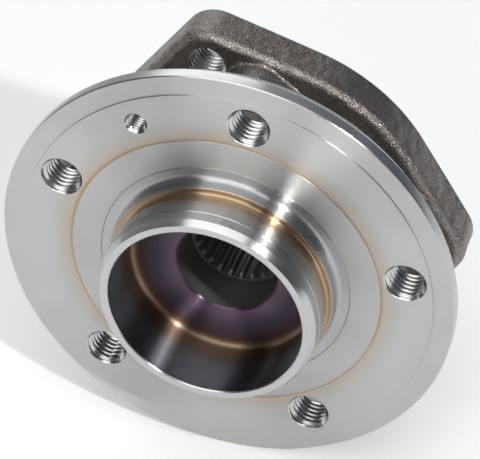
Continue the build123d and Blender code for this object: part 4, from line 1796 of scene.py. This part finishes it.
@dataclass
class Seals:
    """Both seals: pressed cases, rubber lips, the slinger and its encoder ring.

    Attributes:
        sizes: The bearing's sizes.
        finishes: The materials.
        inset: How far each case lies inside the fixed ring's end.
        case_length: The depth of the outboard case's foot behind the ring's end.
        case_bore: The inner radius of a case's rim.
        case_edge: The radius of the hole in a case's wall.
        cassette: The depth of the inboard case's wall.
        lip_body: The radius of the lips' thick part.
        lip: A lip's thickness.
        tip_gap: How far a lip stays clear of what it runs on.
        slinger_wall: The depth of the slinger's wall.
        slinger_edge: The slinger's outer radius.
        encoder_thickness: The encoder ring's thickness.
        encoder_width: The encoder ring's width.
    """

    sizes: BearingSizes
    finishes: FinishBook
    inset: float = 0.3
    case_length: float = 5.5
    case_bore: float = 39.2
    case_edge: float = 34.449
    cassette: float = 51.4
    lip_body: float = 32.449
    lip: float = 0.32
    tip_gap: float = 0.05
    slinger_wall: float = 54.2
    slinger_edge: float = 38.6
    encoder_thickness: float = 0.9
    encoder_width: float = 6.6

    def turned_piece(
        self, name: str, node: str, corners: Sequence[Corner], finish: Finish, body: Body, slot: Slot
    ) -> None:
        """Turns one thin piece and puts it in place of its node.

        Args:
            name: The piece's name.
            node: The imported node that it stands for.
            corners: Its outline.
            finish: Its finish.
            body: The body that it rides on.
            slot: Its material slot.
        """
        mesh = turned_mesh(name, blended(corners, step=15.0), round_clocks())
        smooth(mesh, PRESSED_CREASE)
        piece = add_object(mesh, (self.finishes.get(finish),))
        finish_piece(piece, body, slot, node)

    def case_outline(self, top: float, foot: float) -> list[Corner]:
        """A pressed case's outline.

        Args:
            top: The depth of its wall.
            foot: The depth of its rim's end.

        Returns:
            The corners.
        """
        sheet, seat = self.sizes.sheet, self.sizes.seal_seat
        return [
            Corner(self.case_edge, top, 0.1),
            Corner(seat, top, 0.8),
            Corner(seat, foot, 0.15),
            Corner(self.case_bore, foot, 0.15),
            Corner(self.case_bore, top + sheet, 0.3),
            Corner(self.case_edge, top + sheet, 0.1),
        ]

    def outboard_lips(self, top: float) -> list[Corner]:
        """The outline of the outboard lips: two run on the land, one on the flange's shoulder.

        Args:
            top: The depth of the case's wall.

        Returns:
            The corners.
        """
        lip, edge, body = self.lip, self.case_edge, self.lip_body
        size, gap = self.sizes, self.tip_gap
        back, tip, shoulder = top + size.sheet, size.inner_land + gap, size.shoulder + gap
        return [
            Corner(edge, back, 0.1),
            Corner(body, top + 4.0 * lip, 0.4),
            Corner(tip, top + 5.5 * lip, 0.06),
            Corner(tip, top + 4.5 * lip, 0.06),
            Corner(body - 1.0, back, 0.4),
            Corner(tip, back, 0.06),
            Corner(tip, top + 1.5 * lip, 0.06),
            Corner(body, top - lip, 0.5),
            Corner(edge - 1.0, top - lip, 0.3),
            Corner(edge + 2.5 * lip, shoulder, 0.06),
            Corner(edge + 3.5 * lip, shoulder, 0.06),
            Corner(edge, top, 0.2),
        ]

    def inboard_lips(self) -> list[Corner]:
        """The outline of the inboard lips, which run on the slinger's sleeve and wall."""
        lip, edge, body, top = self.lip, self.case_edge, self.lip_body, self.cassette
        back = top + self.sizes.sheet
        tip = self.sizes.inner_land + self.sizes.sheet + self.tip_gap
        wall = self.slinger_wall - self.tip_gap
        return [
            Corner(edge, top, 0.1),
            Corner(body, top + lip, 0.3),
            Corner(tip, back, 0.06),
            Corner(tip, back + lip, 0.06),
            Corner(body, back + lip, 0.2),
            Corner(edge - 1.0, back + lip, 0.2),
            Corner(edge + 2.5 * lip, wall, 0.06),
            Corner(edge + 3.5 * lip, wall, 0.06),
            Corner(edge, back, 0.2),
        ]

    def slinger_outline(self) -> list[Corner]:
        """The outline of the slinger: a sleeve on the inner ring, and a wall."""
        land, sheet = self.sizes.inner_land, self.sizes.sheet
        wall, rim = self.slinger_wall, self.slinger_edge
        return [
            Corner(land, self.cassette, 0.1),
            Corner(land + sheet, self.cassette, 0.1),
            Corner(land + sheet, wall, 0.3),
            Corner(rim, wall, 0.15),
            Corner(rim, wall + sheet, 0.15),
            Corner(land, wall + sheet, 0.7),
        ]

    def encoder_outline(self) -> list[Corner]:
        """The outline of the encoder ring on the slinger's wall."""
        inner, wall = self.slinger_edge - self.encoder_width, self.slinger_wall + self.sizes.sheet
        return [
            Corner(inner, wall),
            Corner(self.slinger_edge, wall),
            Corner(self.slinger_edge, wall + self.encoder_thickness, 0.25),
            Corner(inner, wall + self.encoder_thickness, 0.35),
        ]

    def build(self) -> None:
        """Builds the six pieces."""
        start, end = self.sizes.outboard_end, self.sizes.inboard_end
        top = start + self.inset
        outboard_case = self.case_outline(top, start + self.case_length)
        inboard_case = self.case_outline(self.cassette, end - self.inset)
        case = (PRESSED_STEEL, Body.HOUSING, Slot.PRESSED)
        lips = (SEAL_RUBBER, Body.HOUSING, Slot.SEAL)
        slinger = (PRESSED_STEEL, Body.HUB, Slot.PRESSED)
        encoder = (ENCODER_RUBBER, Body.HUB, Slot.ENCODER)
        for name, node, corners, kind in (
            ("outboard_case_pressed", "outboard_seal_case", outboard_case, case),
            ("outboard_lips_moulded", "outboard_seal_lips", self.outboard_lips(top), lips),
            ("inboard_case_pressed", "inboard_seal_case", inboard_case, case),
            ("inboard_lips_moulded", "inboard_seal_lips", self.inboard_lips(), lips),
            ("slinger_pressed", "slinger", self.slinger_outline(), slinger),
            ("encoder_moulded", "encoder_ring", self.encoder_outline(), encoder),
        ):
            self.turned_piece(name, node, corners, *kind)


@dataclass
class RollingParts:
    """The balls and cages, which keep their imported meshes.

    Attributes:
        finishes: The materials.
        nodes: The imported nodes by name.
    """

    finishes: FinishBook
    nodes: dict[str, bpy.types.Object]

    def build(self) -> None:
        """Dresses every ball and cage."""
        for name, node in self.nodes.items():
            for part, finish in (("ball", BALL_STEEL), ("cage", CAGE_NYLON)):
                if part in name:
                    node.data.materials.clear()
                    node.data.materials.append(self.finishes.get(finish))
                    node.data.shade_smooth()
                    LOG.info("%s: dressed", name)


# ---- the studio ----------------------------------------------------------------------------------


@dataclass(frozen=True)
class Lamp:
    """A white rectangular studio lamp.

    Attributes:
        name: The lamp's name.
        heading: Where it hangs, as a direction from the object.
        distance: How far away, in metres.
        size: Its width and height, in metres.
        power: Its power, in watts.
    """

    name: str
    heading: tuple[float, float, float]
    distance: float
    size: tuple[float, float]
    power: float

    def hang(self) -> None:
        """Hangs the lamp so that it shines on the object's middle."""
        light = bpy.data.lights.new(self.name, "AREA")
        light.shape = "RECTANGLE"
        light.size, light.size_y = self.size
        light.energy = self.power
        lamp = bpy.data.objects.new(self.name, light)
        beam = Vector(self.heading).normalized()
        aim = beam.to_track_quat("Z", "Y").to_matrix().to_4x4()
        lamp.matrix_world = Matrix.Translation(beam * self.distance) @ aim
        bpy.context.scene.collection.objects.link(lamp)


@dataclass
class Studio:
    """The camera, the lamps, the pale floor and the world round them.

    Attributes:
        camera_place: The camera's place, in metres.
        camera_turn: Its turn, in degrees.
        lens: Its focal length, in millimetres.
        sensor: The width of its sensor, in millimetres.
        floor_level: The floor's height, in metres.
        floor_size: The floor's width, in metres.
        floor_colour: The floor's own colour.
        glow_colour: The colour of the light that it adds where it is seen.
        glow: How strong that light is.
        pale_room: The world's colour at the back on the left.
        cool_room: Its colour at the back on the right.
        front_room: Its colour in front.
        lamps: The lamps.
    """

    camera_place: tuple[float, float, float] = (0.18888, -0.57201, 0.51432)
    camera_turn: tuple[float, float, float] = (50.394, 0.0935, 17.772)
    lens: float = 207.66
    sensor: float = 36.0
    floor_level: float = -0.0678
    floor_size: float = 6.0
    floor_colour: Colour = (0.81, 0.82, 0.825)
    glow_colour: Colour = (0.97, 0.985, 1.0)
    glow: float = 0.20
    pale_room: Colour = (0.50, 0.50, 0.50)
    cool_room: Colour = (0.10, 0.115, 0.15)
    front_room: Colour = (0.07, 0.075, 0.085)
    lamps: tuple[Lamp, ...] = (
        Lamp("window_high", (-0.06, -0.34, 1.00), 1.2, (1.22, 0.78), 6.4),
        Lamp("window_low", (-0.20, -0.82, 0.55), 1.2, (0.72, 0.78), 3.8),
        Lamp("side_lamp", (0.56, -0.506, 0.656), 1.6, (0.06, 0.06), 13.0),
        Lamp("back_card", (-0.36, 0.74, 0.57), 1.8, (1.1, 0.7), 5.2),
    )

    def place_camera(self) -> None:
        """Makes the camera at its fixed place."""
        data = bpy.data.cameras.new("camera")
        data.sensor_fit = "HORIZONTAL"
        data.sensor_width = self.sensor
        data.lens = self.lens
        data.clip_start = 0.01
        data.clip_end = 50.0
        camera = bpy.data.objects.new("camera", data)
        camera.location = self.camera_place
        camera.rotation_euler = [math.radians(turn) for turn in self.camera_turn]
        bpy.context.scene.collection.objects.link(camera)
        bpy.context.scene.camera = camera

    def lay_floor(self) -> None:
        """Lays the pale floor, which shows white and keeps the object's shadow."""
        half, level = self.floor_size / 2, self.floor_level
        mesh = bpy.data.meshes.new("floor")
        corners = [(-half, -half, level), (half, -half, level), (half, half, level), (-half, half, level)]
        mesh.from_pydata(corners, [], [(0, 1, 2, 3)])
        add_object(mesh, (self.floor_material(),))

    def floor_material(self) -> bpy.types.Material:
        """A pale floor: lit by the lamps, and lifted to white where the camera, metal or glass sees it.

        Returns:
            The material.
        """
        material = bpy.data.materials.new("floor_white")
        material.use_nodes = True
        material.node_tree.nodes.clear()
        nodes = Nodes(material.node_tree)
        matt = nodes.add("ShaderNodeBsdfDiffuse")
        matt.inputs["Color"].default_value = rgba(self.floor_colour)
        glow = nodes.add("ShaderNodeEmission")
        glow.inputs["Color"].default_value = rgba(self.glow_colour)
        path = nodes.add("ShaderNodeLightPath")
        seen = nodes.maths("MAXIMUM", path.outputs["Is Camera Ray"], path.outputs["Is Glossy Ray"])
        seen = nodes.maths("MAXIMUM", seen, path.outputs["Is Transmission Ray"])
        nodes.feed(glow.inputs["Strength"], nodes.maths("MULTIPLY", seen, self.glow))
        both = nodes.add("ShaderNodeAddShader")
        nodes.feed(both.inputs[0], matt.outputs[0])
        nodes.feed(both.inputs[1], glow.outputs[0])
        output = nodes.add("ShaderNodeOutputMaterial")
        nodes.feed(output.inputs["Surface"], both.outputs[0])
        return material

    def fill_world(self) -> None:
        """Makes a room, pale at the back on the left and darker elsewhere, with white behind the object."""
        world = bpy.data.worlds.new("room")
        bpy.context.scene.world = world
        world.use_nodes = True
        world.node_tree.nodes.clear()
        nodes = Nodes(world.node_tree)
        path = nodes.add("ShaderNodeLightPath")
        split = nodes.add("ShaderNodeSeparateXYZ")
        nodes.feed(split.inputs[0], nodes.add("ShaderNodeTexCoord").outputs["Generated"])
        side = nodes.span(split.outputs["X"], low=-0.35, high=0.55)
        front = nodes.span(split.outputs["Y"], low=-0.30, high=0.30, out_low=1.0, out_high=0.0)
        room = nodes.mixed(side, self.pale_room, self.cool_room)
        room = nodes.mixed(front, room, self.front_room)
        background = nodes.add("ShaderNodeBackground")
        nodes.feed(background.inputs["Color"], nodes.mixed(path.outputs["Is Camera Ray"], room, WHITE))
        output = nodes.add("ShaderNodeOutputWorld")
        nodes.feed(output.inputs["Surface"], background.outputs[0])

    def build(self) -> None:
        """Sets up the whole studio."""
        self.place_camera()
        self.lay_floor()
        self.fill_world()
        for lamp in self.lamps:
            lamp.hang()
        bpy.context.scene.view_settings.view_transform = "Standard"


def clear_scene() -> None:
    """Removes what a new Blender file holds."""
    for item in list(bpy.data.objects):
        bpy.data.objects.remove(item)


def main() -> None:
    """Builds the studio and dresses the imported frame."""
    logging.basicConfig(level=logging.INFO, format="%(name)s: %(message)s")
    clear_scene()
    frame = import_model()
    Studio().build()
    finishes = FinishBook()
    sizes = BearingSizes()
    Hub(sizes, finishes).build()
    InnerRing(sizes, finishes).build()
    KnuckleRing(sizes, finishes).build()
    Seals(sizes, finishes).build()
    RollingParts(finishes, frame["nodes"]).build()


if __name__ == "__main__":
    main()
